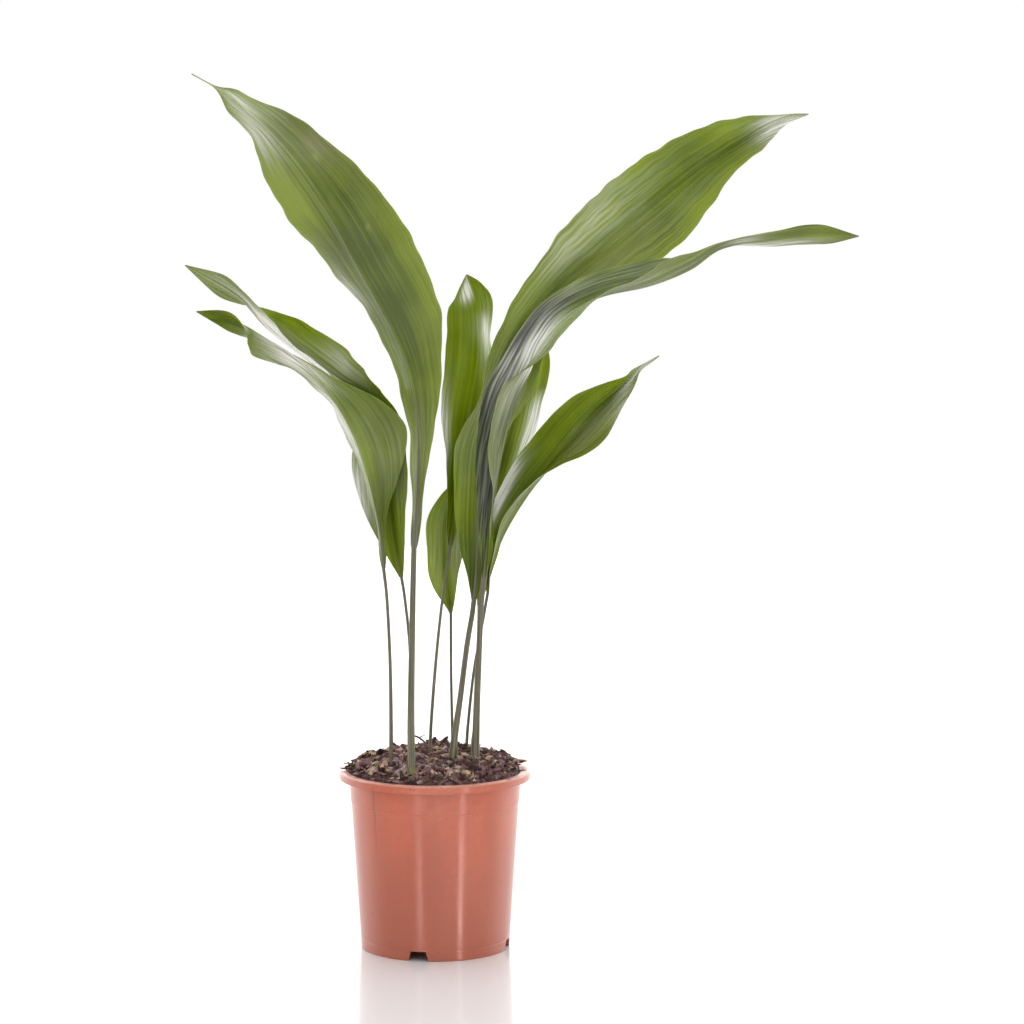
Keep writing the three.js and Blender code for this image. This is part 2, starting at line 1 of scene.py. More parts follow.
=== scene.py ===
"""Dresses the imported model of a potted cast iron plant.

The plant is a young aspidistra: nine long leaves on bare stalks, in a glossy terracotta-coloured nursery
pot heaped with bark compost. Measures in the data are millimetres in the part's own frame, with the origin
on the pot's axis at the floor, +Z up and the viewer toward -Y. Every mesh is built in metres.
"""

import logging
import math
import random
from collections.abc import Iterable, Sequence
from dataclasses import dataclass, field
from enum import Enum
from typing import Any

import bpy
import numpy as np
from mathutils import Matrix, Vector


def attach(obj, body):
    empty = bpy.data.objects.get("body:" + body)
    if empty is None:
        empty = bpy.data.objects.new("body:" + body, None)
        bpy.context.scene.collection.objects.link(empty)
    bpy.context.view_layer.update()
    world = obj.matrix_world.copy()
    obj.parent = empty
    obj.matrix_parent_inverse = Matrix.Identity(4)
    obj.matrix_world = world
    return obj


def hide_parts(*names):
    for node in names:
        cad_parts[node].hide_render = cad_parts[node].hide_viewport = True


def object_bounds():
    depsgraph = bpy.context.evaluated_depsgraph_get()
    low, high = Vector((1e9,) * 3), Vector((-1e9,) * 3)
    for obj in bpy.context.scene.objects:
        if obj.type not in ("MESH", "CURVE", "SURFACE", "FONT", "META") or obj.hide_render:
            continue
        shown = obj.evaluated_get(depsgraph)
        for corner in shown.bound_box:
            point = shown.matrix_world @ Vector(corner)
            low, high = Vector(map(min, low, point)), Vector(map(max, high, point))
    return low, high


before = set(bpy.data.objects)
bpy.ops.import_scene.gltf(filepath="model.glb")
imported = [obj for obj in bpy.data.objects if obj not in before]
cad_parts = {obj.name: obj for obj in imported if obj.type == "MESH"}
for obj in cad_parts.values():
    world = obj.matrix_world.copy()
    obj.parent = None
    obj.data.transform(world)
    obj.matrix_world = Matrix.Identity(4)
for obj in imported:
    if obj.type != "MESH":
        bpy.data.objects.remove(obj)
CAD_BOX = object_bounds()

MM = 0.001
FULL_TURN = 2 * math.pi
LINE_SAMPLES = 401
LOG = logging.getLogger("potted_plant")

Point = tuple[float, float, float]
Colour = tuple[float, float, float, float]


# Shared tools


def linear(hex_colour: str) -> Colour:
    """Turns an sRGB hex colour into linear RGBA.

    Args:
        hex_colour: Six hex digits after a hash sign.

    Returns:
        The colour in linear light with full alpha.
    """
    channels = [int(hex_colour[i : i + 2], 16) / 255 for i in (1, 3, 5)]
    red, green, blue = (c / 12.92 if c <= 0.04045 else ((c + 0.055) / 1.055) ** 2.4 for c in channels)
    return (red, green, blue, 1.0)


def add_node(tree: Any, kind: str, inputs: dict[str | int, Any] | None = None, **settings: Any) -> Any:
    """Adds a node with its settings, values and links.

    Args:
        tree: The node tree to add to.
        kind: The node's type name.
        inputs: A value, or an output socket to link, for each input named or numbered here.
        **settings: Properties of the node itself.

    Returns:
        The new node.
    """
    node = tree.nodes.new(kind)
    for name, value in settings.items():
        setattr(node, name, value)
    for key, value in (inputs or {}).items():
        if isinstance(value, bpy.types.NodeSocket):
            tree.links.new(value, node.inputs[key])
        else:
            node.inputs[key].default_value = value
    return node


def add_object(name: str, data: Any) -> Any:
    """Makes an object that holds the data, links it to the scene and returns it."""
    item = bpy.data.objects.new(name, data)
    bpy.context.scene.collection.objects.link(item)
    return item


def rounded(t: np.ndarray | float, low: float, high: float) -> Any:
    """Returns a smooth step of t from 0 at low to 1 at high."""
    x = np.clip((np.asarray(t, float) - low) / (high - low), 0.0, 1.0)
    return x * x * (3 - 2 * x)


class CurvedLine:
    """A smooth line through stations, read by the share of its length. Any extra columns follow along."""

    def __init__(self, stations: Sequence[Sequence[float]]) -> None:
        """Stores the stations, each x, y, z and any extra values, and measures the line.

        Args:
            stations: The rows that the line passes through.
        """
        self.rows = np.array(stations, float)
        self.places = np.linspace(0, 1, LINE_SAMPLES)
        steps = np.diff(self.at(self.places)[:, :3], axis=0)
        self.lengths = np.concatenate([[0], np.cumsum(np.linalg.norm(steps, axis=1))])

    @property
    def length(self) -> float:
        """The line's length in millimetres."""
        return float(self.lengths[-1])

    def at(self, places: np.ndarray) -> np.ndarray:
        """Returns the row at each place, counted evenly from 0 at the first station to 1 at the last."""
        rows, last = self.rows, len(self.rows) - 1
        scaled = np.clip(places, 0, 1) * last
        index = np.minimum(scaled.astype(int), last - 1)
        weight = (scaled - index)[:, None]
        padded = np.vstack([2 * rows[0] - rows[1], rows, 2 * rows[-1] - rows[-2]])
        p0, p1, p2, p3 = (padded[index + i] for i in range(4))
        start, end = (p2 - p0) / 2, (p3 - p1) / 2
        cubic = 2 * p1 - 2 * p2 + start + end
        square = -3 * p1 + 3 * p2 - 2 * start - end
        return cubic * weight**3 + square * weight**2 + start * weight + p1

    def by_share(self, shares: np.ndarray) -> np.ndarray:
        """Turns shares of the length into places for at()."""
        return np.interp(np.asarray(shares) * self.length, self.lengths, self.places)

    def tangents(self, places: np.ndarray) -> np.ndarray:
        """Returns the unit direction of the line at each place."""
        step = 1e-4
        ahead = self.at(np.minimum(places + step, 1))[:, :3]
        behind = self.at(np.maximum(places - step, 0))[:, :3]
        return unit(ahead - behind)


def unit(vectors: np.ndarray) -> np.ndarray:
    """Scales vectors to length one along the last axis."""
    return vectors / np.maximum(np.linalg.norm(vectors, axis=-1, keepdims=True), 1e-12)


def across(tangents: np.ndarray) -> tuple[np.ndarray, np.ndarray]:
    """Gives the two directions across a line.

    Args:
        tangents: The line's unit directions.

    Returns:
        The directions to the viewer's right and toward the viewer.
    """
    right = unit(np.cross(np.array([0.0, 1.0, 0.0]), tangents))
    return right, np.cross(right, tangents)


def loft_faces(rings: int, count: int, first: int) -> list[tuple[int, ...]]:
    """Returns the side faces of a closed loft.

    Args:
        rings: The number of rings.
        count: The points in each ring.
        first: The number of the first point.

    Returns:
        Quads that face outward where each ring runs anticlockwise seen from the loft's far end.
    """
    faces = []
    for k in range(rings - 1):
        for i in range(count):
            a, b = first + k * count + i, first + k * count + (i + 1) % count
            faces.append((a, b, b + count, a + count))
    return faces


def spun_faces(rings: int, count: int) -> list[tuple[int, ...]]:
    """Returns all faces of a closed spun form.

    Args:
        rings: The number of rings between its two end points.
        count: The points in each ring.

    Returns:
        Faces that count the points from one end point, through the rings, to the other end point.
    """
    faces = loft_faces(rings, count, 1)
    end = 1 + rings * count
    last = end - count
    for i in range(count):
        j = (i + 1) % count
        faces += [(0, 1 + j, 1 + i), (end, last + i, last + j)]
    return faces


def around(reach: float, turn: float) -> tuple[float, float]:
    """Returns the x and y of a place at a distance from the axis and a turn round it."""
    return reach * math.cos(turn), reach * math.sin(turn)


@dataclass
class MeshBuilder:
    """Collects points in millimetres, faces, and values per point, for one piece."""

    points: list[Sequence[float]] = field(default_factory=list)
    faces: list[tuple[int, ...]] = field(default_factory=list)
    slots: list[int] = field(default_factory=list)
    values: dict[str, list[Sequence[float]]] = field(default_factory=dict)

    def add_points(self, points: Iterable[Sequence[float]], **values: Iterable[Sequence[float]]) -> int:
        """Adds points with their named values, and returns the number of the first one."""
        first = len(self.points)
        self.points.extend(points)
        for name, rows in values.items():
            self.values.setdefault(name, []).extend(rows)
        return first

    def add_faces(self, faces: Iterable[tuple[int, ...]], slot: int = 0) -> None:
        """Adds faces that take the material in the numbered slot."""
        faces = list(faces)
        self.faces.extend(faces)
        self.slots.extend([slot] * len(faces))

    def add_rod(self, first: int, rings: int, count: int) -> None:
        """Adds the side and the two ends of a closed rod.

        Args:
            first: The number of its first point.
            rings: The number of rings.
            count: The points in each ring.
        """
        last = first + (rings - 1) * count
        self.add_faces(loft_faces(rings, count, first))
        self.add_faces([tuple(range(first + count - 1, first - 1, -1)), tuple(range(last, last + count))])

    def build(self, name: str, finishes: Sequence["Finish"], sharp_angle: float | None = None) -> Any:
        """Makes the mesh object.

        Args:
            name: The object's name.
            finishes: The finish of each material slot, in order.
            sharp_angle: Edges sharper than this many degrees stay crisp. None smooths all.

        Returns:
            The new object, linked to the scene.
        """
        mesh = bpy.data.meshes.new(name)
        scaled = np.array(self.points, float) * MM
        mesh.from_pydata(scaled.tolist(), [], self.faces)
        for finish in finishes:
            mesh.materials.append(finish.material())
        mesh.polygons.foreach_set("material_index", self.slots)
        for label, rows in self.values.items():
            attribute = mesh.attributes.new(label, "FLOAT_VECTOR", "POINT")
            attribute.data.foreach_set("vector", np.array(rows, np.float32).ravel())
        mesh.validate()
        mesh.shade_smooth()
        if sharp_angle is not None:
            mesh.set_sharp_from_angle(angle=math.radians(sharp_angle))
        return add_object(name, mesh)


def mount(piece: Any, slot: str, *nodes: str) -> None:
    """Rides a piece on the part's one body, in place of the named nodes.

    Args:
        piece: The piece to place.
        slot: The record's material slot. Not used.
        *nodes: The solids that the piece stands for.
    """
    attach(piece, "root")
    if nodes:
        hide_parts(*nodes)
    LOG.info("%s: %d faces", piece.name, len(piece.data.polygons))


# Finishes


@dataclass(frozen=True)
class Finish:
    """A surface made of one real material. Subclasses lay out its shader."""

    name: str

    def material(self) -> Any:
        """Returns the finish's material, made on the first call."""
        known = bpy.data.materials.get(self.name)
        if known is not None:
            return known
        material = bpy.data.materials.new(self.name)
        material.use_nodes = True
        tree = material.node_tree
        tree.nodes.clear()
        add_node(tree, "ShaderNodeOutputMaterial", {"Surface": self.surface(tree)})
        return material

    def surface(self, tree: Any) -> Any:
        """Lays out the shader and returns its output socket."""
        raise NotImplementedError


@dataclass(frozen=True)
class LeafTissue(Finish):
    """Living aspidistra leaf, grown with many parallel veins.

    Long fine stripes run from the foot to the tip, the light shining through the thin blade is painted in
    as a lighter yellow-green that is strongest at the margin, and the wax of the upper side gives long soft
    glints where the underside is duller and greyer. The real veins are about 1 mm apart. Here they are
    about 2.6 mm apart where the leaf is widest, with finer threads between them, so that they show.
    """

    deep: str = "#506305"
    light: str = "#8fa314"
    # Painted glow of light shining through the thin margin
    margin: str = "#a5b83c"
    # Painted shade: darkens each blade's foot and the hollows that other leaves and folds shadow
    shade: str = "#1d2113"
    stain: str = "#8a7863"
    # Painted glare: the pale that stands for bright reflections on the leaf, laid in patches and streaks
    painted_glare: str = "#fbfaf4"
    roughness: float = 0.27
    ior: float = 1.5
    specular: float = 0.16
    vein_depth: float = 0.3  # millimetres of relief
    # Noise cells across a 45 mm half and in a metre along it: bands, veins, threads and flecks
    cells: tuple[tuple[float, float, float], ...] = ((6, 2.5, 1), (17, 4, 1), (34, 7, 1), (17, 17, 1))
    mottle_cells: float = 22.0  # in a metre, so patches of about 45 mm
    # How far bands, veins, threads and mottle each move the colour between deep and light
    amounts: tuple[float, float, float, float] = (0.16, 0.22, 0.16, 0.2)
    mean_share: float = 0.4
    # Times the painted shade and the painted glare, where the flecks are lowest and highest
    shade_streaks: tuple[float, float] = (1.35, 0.5)
    glare_streaks: tuple[float, float] = (0.45, 1.4)

    def surface(self, tree: Any) -> Any:
        """Lays out the stripes, the margin's painted glow, the painted shade at the foot and in hollows,
        the painted glare and the vein relief.
        """
        lamina, tint, rim = (add_node(tree, "ShaderNodeAttribute", attribute_name=name).outputs["Vector"]
                             for name in ("lamina", "tint", "rim"))
        glow_and_tone, shaded, stained = add_node(tree, "ShaderNodeSeparateXYZ", {0: tint}).outputs
        edged, glared, waxed = add_node(tree, "ShaderNodeSeparateXYZ", {0: rim}).outputs
        noises = []
        for stretch in self.cells:
            stretched = add_node(tree, "ShaderNodeVectorMath", {0: lamina, 1: stretch},
                                 operation="MULTIPLY")
            noises.append(add_node(tree, "ShaderNodeTexNoise", {
                "Vector": stretched.outputs[0], "Scale": 1.0, "Detail": 2.0}).outputs[0])
        bands, veins, threads, flecks = noises
        position = add_node(tree, "ShaderNodeTexCoord")
        mottle = add_node(tree, "ShaderNodeTexNoise", {
            "Vector": position.outputs["Object"], "Scale": self.mottle_cells, "Detail": 3.0}).outputs[0]
        share = glow_and_tone
        for source, amount in zip((bands, veins, threads, mottle), self.amounts):
            part = add_node(tree, "ShaderNodeMapRange", {
                "Value": source, "From Min": 0.3, "From Max": 0.7, "To Min": -amount, "To Max": amount})
            share = add_node(tree, "ShaderNodeMath", {0: share, 1: part.outputs[0]},
                             operation="ADD").outputs[0]
        share = add_node(tree, "ShaderNodeMath", {0: share, 1: self.mean_share}, operation="ADD",
                         use_clamp=True)
        colour = add_node(tree, "ShaderNodeMix", {
            0: share.outputs[0], 6: linear(self.deep), 7: linear(self.light)}, data_type="RGBA").outputs[2]
        streaked = []
        for socket, (low, high) in ((shaded, self.shade_streaks), (glared, self.glare_streaks)):
            streaks = add_node(tree, "ShaderNodeMapRange", {
                "Value": flecks, "From Min": 0.41, "From Max": 0.59, "To Min": low, "To Max": high})
            streaked.append(add_node(tree, "ShaderNodeMath", {0: streaks.outputs[0], 1: socket},
                                     operation="MULTIPLY", use_clamp=True).outputs[0])
        # Over the colour go the margin's painted glow, the painted shade, the real stain and the painted
        # glare
        for amount, over in ((edged, self.margin), (streaked[0], self.shade), (stained, self.stain),
                             (streaked[1], self.painted_glare)):
            colour = add_node(tree, "ShaderNodeMix", {0: amount, 6: colour, 7: linear(over)},
                              data_type="RGBA").outputs[2]
        relief = add_node(tree, "ShaderNodeMath", {0: threads, 1: 0.45, 2: veins}, operation="MULTIPLY_ADD")
        bump = add_node(tree, "ShaderNodeBump", {
            "Height": relief.outputs[0], "Strength": 0.6, "Distance": self.vein_depth * MM})
        gloss = add_node(tree, "ShaderNodeMapRange", {
            "Value": bands, "From Min": 0.3, "From Max": 0.7,
            "To Min": self.roughness + 0.06, "To Max": self.roughness - 0.05})
        gloss = add_node(tree, "ShaderNodeMath", {0: gloss.outputs[0], 1: waxed}, operation="SUBTRACT")
        return add_node(tree, "ShaderNodeBsdfPrincipled", {
            "Base Color": colour, "Roughness": gloss.outputs[0], "IOR": self.ior,
            "Specular IOR Level": self.specular, "Normal": bump.outputs[0]}).outputs[0]


@dataclass(frozen=True)
class StalkTissue(Finish):
    """Living leaf stalk: a firm ribbed rod with a thin waxy skin, grey-olive with darker long streaks."""

    light: str = "#8b8c66"
    deep: str = "#54563a"
    foot: str = "#a9aa3e"
    foot_share: float = 0.6
    foot_fade: tuple[float, float] = (0.021, 0.034)  # metres along, where the yellow foot fades out
    cells: tuple[float, float, float] = (9, 12, 1)  # in half a turn round the rod, and in a metre along it
    roughness: float = 0.42
    rib_depth: float = 0.15  # millimetres of relief

    def surface(self, tree: Any) -> Any:
        """Lays out the long streaks and the satin skin."""
        lamina = add_node(tree, "ShaderNodeAttribute", attribute_name="lamina").outputs["Vector"]
        stretched = add_node(tree, "ShaderNodeVectorMath", {0: lamina, 1: self.cells}, operation="MULTIPLY")
        streaks = add_node(tree, "ShaderNodeTexNoise", {
            "Vector": stretched.outputs[0], "Scale": 1.0, "Detail": 3.0}).outputs[0]
        share = add_node(tree, "ShaderNodeMapRange", {
            "Value": streaks, "From Min": 0.35, "From Max": 0.65, "To Min": 0.0, "To Max": 1.0}).outputs[0]
        along = add_node(tree, "ShaderNodeSeparateXYZ", {0: lamina}).outputs[1]
        low, high = self.foot_fade
        footed = add_node(tree, "ShaderNodeMapRange", {
            "Value": along, "From Min": low, "From Max": high, "To Min": self.foot_share,
            "To Max": 0.0}).outputs[0]
        colour = linear(self.deep)
        for amount, over in ((share, self.light), (footed, self.foot)):
            colour = add_node(tree, "ShaderNodeMix", {0: amount, 6: colour, 7: linear(over)},
                              data_type="RGBA").outputs[2]
        bump = add_node(tree, "ShaderNodeBump", {
            "Height": streaks, "Strength": 0.5, "Distance": self.rib_depth * MM})
        return add_node(tree, "ShaderNodeBsdfPrincipled", {
            "Base Color": colour, "Roughness": self.roughness, "IOR": 1.45,
            "Normal": bump.outputs[0]}).outputs[0]


@dataclass(frozen=True)
class MouldedPlastic(Finish):
    """Injection-moulded polypropylene, terracotta-coloured and glossy.

    The steel mould was turned on a lathe, so its faint rings stretch every light into an upright streak.
    Fine upright rub marks and a few dark specks come from stacking and from the compost, and a painted
    highlight, broken up by the rub marks, brightens the rim's rounded upper edge. A thin dark seam under
    the rim shows where the plastic's two flows met in the mould.
    """

    body: str = "#b35b42"
    pale: str = "#bb6850"
    # Pale of the rub marks, and of the painted highlight on the rim
    rub_and_glint: str = "#dda593"
    speck: str = "#6b3a2e"
    seam_turn: float = -44.0  # degrees from the front, toward the right
    seam_width: float = 0.009  # radians to each side
    seam_heights: tuple[float, float, float] = (0.086, 0.135, 0.152)  # metres: faint, full, end
    # Painted highlight along the rim's rounded upper edge
    glint_heights: tuple[float, float] = (0.1574, 0.1588)  # metres: none, full
    roughness: float = 0.3
    ior: float = 1.49
    anisotropy: float = 0.95
    # Cells in a metre across, deep and up: a broad flow, upright rub marks 2 mm wide, and specks of 3 mm
    flow_cells: tuple[float, float, float] = (11, 11, 5)
    rub_cells: tuple[float, float, float] = (520, 520, 16)
    speck_cells: tuple[float, float, float] = (330, 330, 330)

    def surface(self, tree: Any) -> Any:
        """Lays out the soft flow of the colour, rub marks, specks, the dark seam, the painted highlight on
        the rim and the streaked gloss.
        """
        position = add_node(tree, "ShaderNodeTexCoord").outputs["Object"]
        noises = []
        for cells, detail in ((self.flow_cells, 1.0), (self.rub_cells, 2.0), (self.speck_cells, 0.0)):
            mapped = add_node(tree, "ShaderNodeMapping", {"Vector": position, "Scale": cells})
            noises.append(add_node(tree, "ShaderNodeTexNoise", {
                "Vector": mapped.outputs[0], "Scale": 1.0, "Detail": detail}).outputs[0])
        flow, rubs, specks = noises
        coats = []
        for source, low, high, amount, over in (
                (flow, 0.3, 0.7, 1.0, self.pale), (rubs, 0.68, 0.82, 0.15, self.rub_and_glint),
                (specks, 0.8, 0.84, 0.5, self.speck)):
            mark = add_node(tree, "ShaderNodeMapRange", {
                "Value": source, "From Min": low, "From Max": high, "To Max": amount})
            coats.append((mark.outputs[0], over))
        # Then the dark seam, and the painted highlight on the rim
        coats += [(self.seam(tree, position), self.speck), (self.rim_glint(tree, position, rubs), self.rub_and_glint)]
        colour = linear(self.body)
        for amount, over in coats:
            colour = add_node(tree, "ShaderNodeMix", {0: amount, 6: colour, 7: linear(over)},
                              data_type="RGBA").outputs[2]
        gloss = add_node(tree, "ShaderNodeMapRange", {
            "Value": rubs, "From Min": 0.3, "From Max": 0.8,
            "To Min": self.roughness - 0.02, "To Max": self.roughness + 0.04})
        tangent = add_node(tree, "ShaderNodeTangent", direction_type="RADIAL", axis="Z")
        return add_node(tree, "ShaderNodeBsdfPrincipled", {
            "Base Color": colour, "Roughness": gloss.outputs[0], "IOR": self.ior, "Specular IOR Level": 0.7,
            "Anisotropic": self.anisotropy, "Anisotropic Rotation": 0.25,
            "Tangent": tangent.outputs[0]}).outputs[0]

    def seam(self, tree: Any, position: Any) -> Any:
        """Returns the share of the dark seam, from the rim halfway down the wall."""
        x, y, z = add_node(tree, "ShaderNodeSeparateXYZ", {0: position}).outputs
        faint, full, end = self.seam_heights
        ahead = add_node(tree, "ShaderNodeMath", {0: y, 1: -1.0}, operation="MULTIPLY")
        turn = add_node(tree, "ShaderNodeMath", {0: x, 1: ahead.outputs[0]}, operation="ARCTAN2")
        apart = add_node(tree, "ShaderNodeMath", {
            0: turn.outputs[0], 1: math.radians(self.seam_turn), 2: self.seam_width}, operation="COMPARE")
        share = add_node(tree, "ShaderNodeMapRange", {
            "Value": z, "From Min": faint, "From Max": full, "To Max": 0.5})
        below_rim = add_node(tree, "ShaderNodeMath", {0: z, 1: end}, operation="LESS_THAN")
        for part in (below_rim, apart):
            share = add_node(tree, "ShaderNodeMath", {0: share.outputs[0], 1: part.outputs[0]},
                             operation="MULTIPLY")
        return share.outputs[0]

    def rim_glint(self, tree: Any, position: Any, marks: Any) -> Any:
        """Returns the share of the painted highlight on the rim's rounded upper edge, broken up by the rub
        marks.
        """
        place = add_node(tree, "ShaderNodeSeparateXYZ", {0: position})
        low, high = self.glint_heights
        rim = add_node(tree, "ShaderNodeMapRange", {
            "Value": place.outputs[2], "From Min": low, "From Max": high, "To Max": 1.3})
        return add_node(tree, "ShaderNodeMath", {0: rim.outputs[0], 1: marks}, operation="MULTIPLY",
                        use_clamp=True).outputs[0]


@dataclass(frozen=True)
class RottedBark(Finish):
    """Composted pine bark, chipped and weathered: dull, fibrous, and each piece its own brown."""

    roughness: float = 0.85
    grain_cells: float = 900.0  # in a metre, so grain of about 1.1 mm
    grain_depth: float = 0.5  # millimetres of relief

    def surface(self, tree: Any) -> Any:
        """Lays out each piece's own brown, its grain and its rough face."""
        tint = add_node(tree, "ShaderNodeAttribute", attribute_name="tint")
        position = add_node(tree, "ShaderNodeTexCoord")
        grain = add_node(tree, "ShaderNodeTexNoise", {
            "Vector": position.outputs["Object"], "Scale": self.grain_cells, "Detail": 4.0}).outputs[0]
        value = add_node(tree, "ShaderNodeMapRange", {
            "Value": grain, "From Min": 0.25, "From Max": 0.75, "To Min": 0.45, "To Max": 1.5})
        colour = add_node(tree, "ShaderNodeVectorMath", {
            0: tint.outputs["Vector"], "Scale": value.outputs[0]}, operation="SCALE")
        bump = add_node(tree, "ShaderNodeBump", {
            "Height": grain, "Strength": 0.8, "Distance": self.grain_depth * MM})
        return add_node(tree, "ShaderNodeBsdfPrincipled", {
            "Base Color": colour.outputs[0], "Roughness": self.roughness, "IOR": 1.45,
            "Specular IOR Level": 0.35, "Normal": bump.outputs[0]}).outputs[0]


@dataclass(frozen=True)
class AcrylicSheet(Finish):
    """Cast white acrylic under the pot: polished, so it mirrors the pot's foot faintly."""

    colour: str = "#f6f6f6"
    roughness: float = 0.12
    ior: float = 1.49

    def surface(self, tree: Any) -> Any:
        """Lays out the polished pale sheet."""
        return add_node(tree, "ShaderNodeBsdfPrincipled", {
            "Base Color": linear(self.colour), "Roughness": self.roughness, "IOR": self.ior}).outputs[0]


LEAF_UPPER = LeafTissue("waxy_leaf_upper_side")
LEAF_UNDER = LeafTissue("dull_leaf_underside", deep="#57632b", light="#8a9b3a", margin="#a5b350",
                        shade="#353b26", painted_glare="#f4f1e8", roughness=0.33, ior=1.45, specular=0.35,
                        vein_depth=0.35)
STALK = StalkTissue("ribbed_leaf_stalk", light="#87826a", deep="#504c3a")
SHEATH = StalkTissue("papery_leaf_sheath", light="#a8a650", deep="#777a36", foot_share=0.45, roughness=0.6)
POT_PLASTIC = MouldedPlastic("moulded_terracotta_polypropylene")
BARK = RottedBark("composted_bark")
FLOOR_SHEET = AcrylicSheet("polished_white_acrylic")


# The plant


class Facing(Enum):
    """Which side of a blade is toward the viewer where its halves aren't lifted."""

    UPPER = 1
    UNDER = -1


@dataclass(frozen=True)
class SheathData:
    """A split scale round a stalk's foot: its top, and the direction of its split in degrees from +X."""

    top: float
    opening: float


@dataclass(frozen=True)
class Blush:
    """A soft patch of colour on a blade.

    The patch lies round a share of the blade's length and a place across it, from -1 at the left edge to 1
    at the right. Its amounts add to the glow-and-tone share (the leaf's own tone and painted light shining
    through it), the painted shade, the stain and the painted glare of the leaf's colour, and its wax takes
    from the roughness.
    """

    share: float
    across: float
    length: float
    width: float
    # Toward the light green: partly the leaf's own tone, partly painted light shining through it
    glow_and_tone: float = 0.0
    # Painted shade
    shade: float = 0.0
    stain: float = 0.0
    # Painted glare: pale patches and streaks that stand for bright reflections
    painted_glare: float = 0.0
    wax: float = 0.0


@dataclass(frozen=True)
class LeafData:
    """One leaf's shape and colouring.

    Stalk rows are x, y, z and radius. Blade rows are x, y, z, half width, and the degrees that the right
    and left halves lift toward the viewer.
    """

    name: str
    facing: Facing
    phase: float
    stalk_top: float
    stalk: tuple[tuple[float, ...], ...]
    blade: tuple[tuple[float, ...], ...]
    sheath: SheathData | None = None
    # Toward the light green over the whole leaf: partly its own tone, partly painted light shining through
    # it
    glow_and_tone: float = 0.0
    # Painted shade over the whole leaf
    shade: float = 0.0
    pleats: float = 0.2
    waves: float = 0.3
    blushes: tuple[Blush, ...] = ()

    @property
    def seed(self) -> float:
        """The leaf's own place in the noise, so that no two leaves have the same streaks."""
        return 10.0 * self.phase


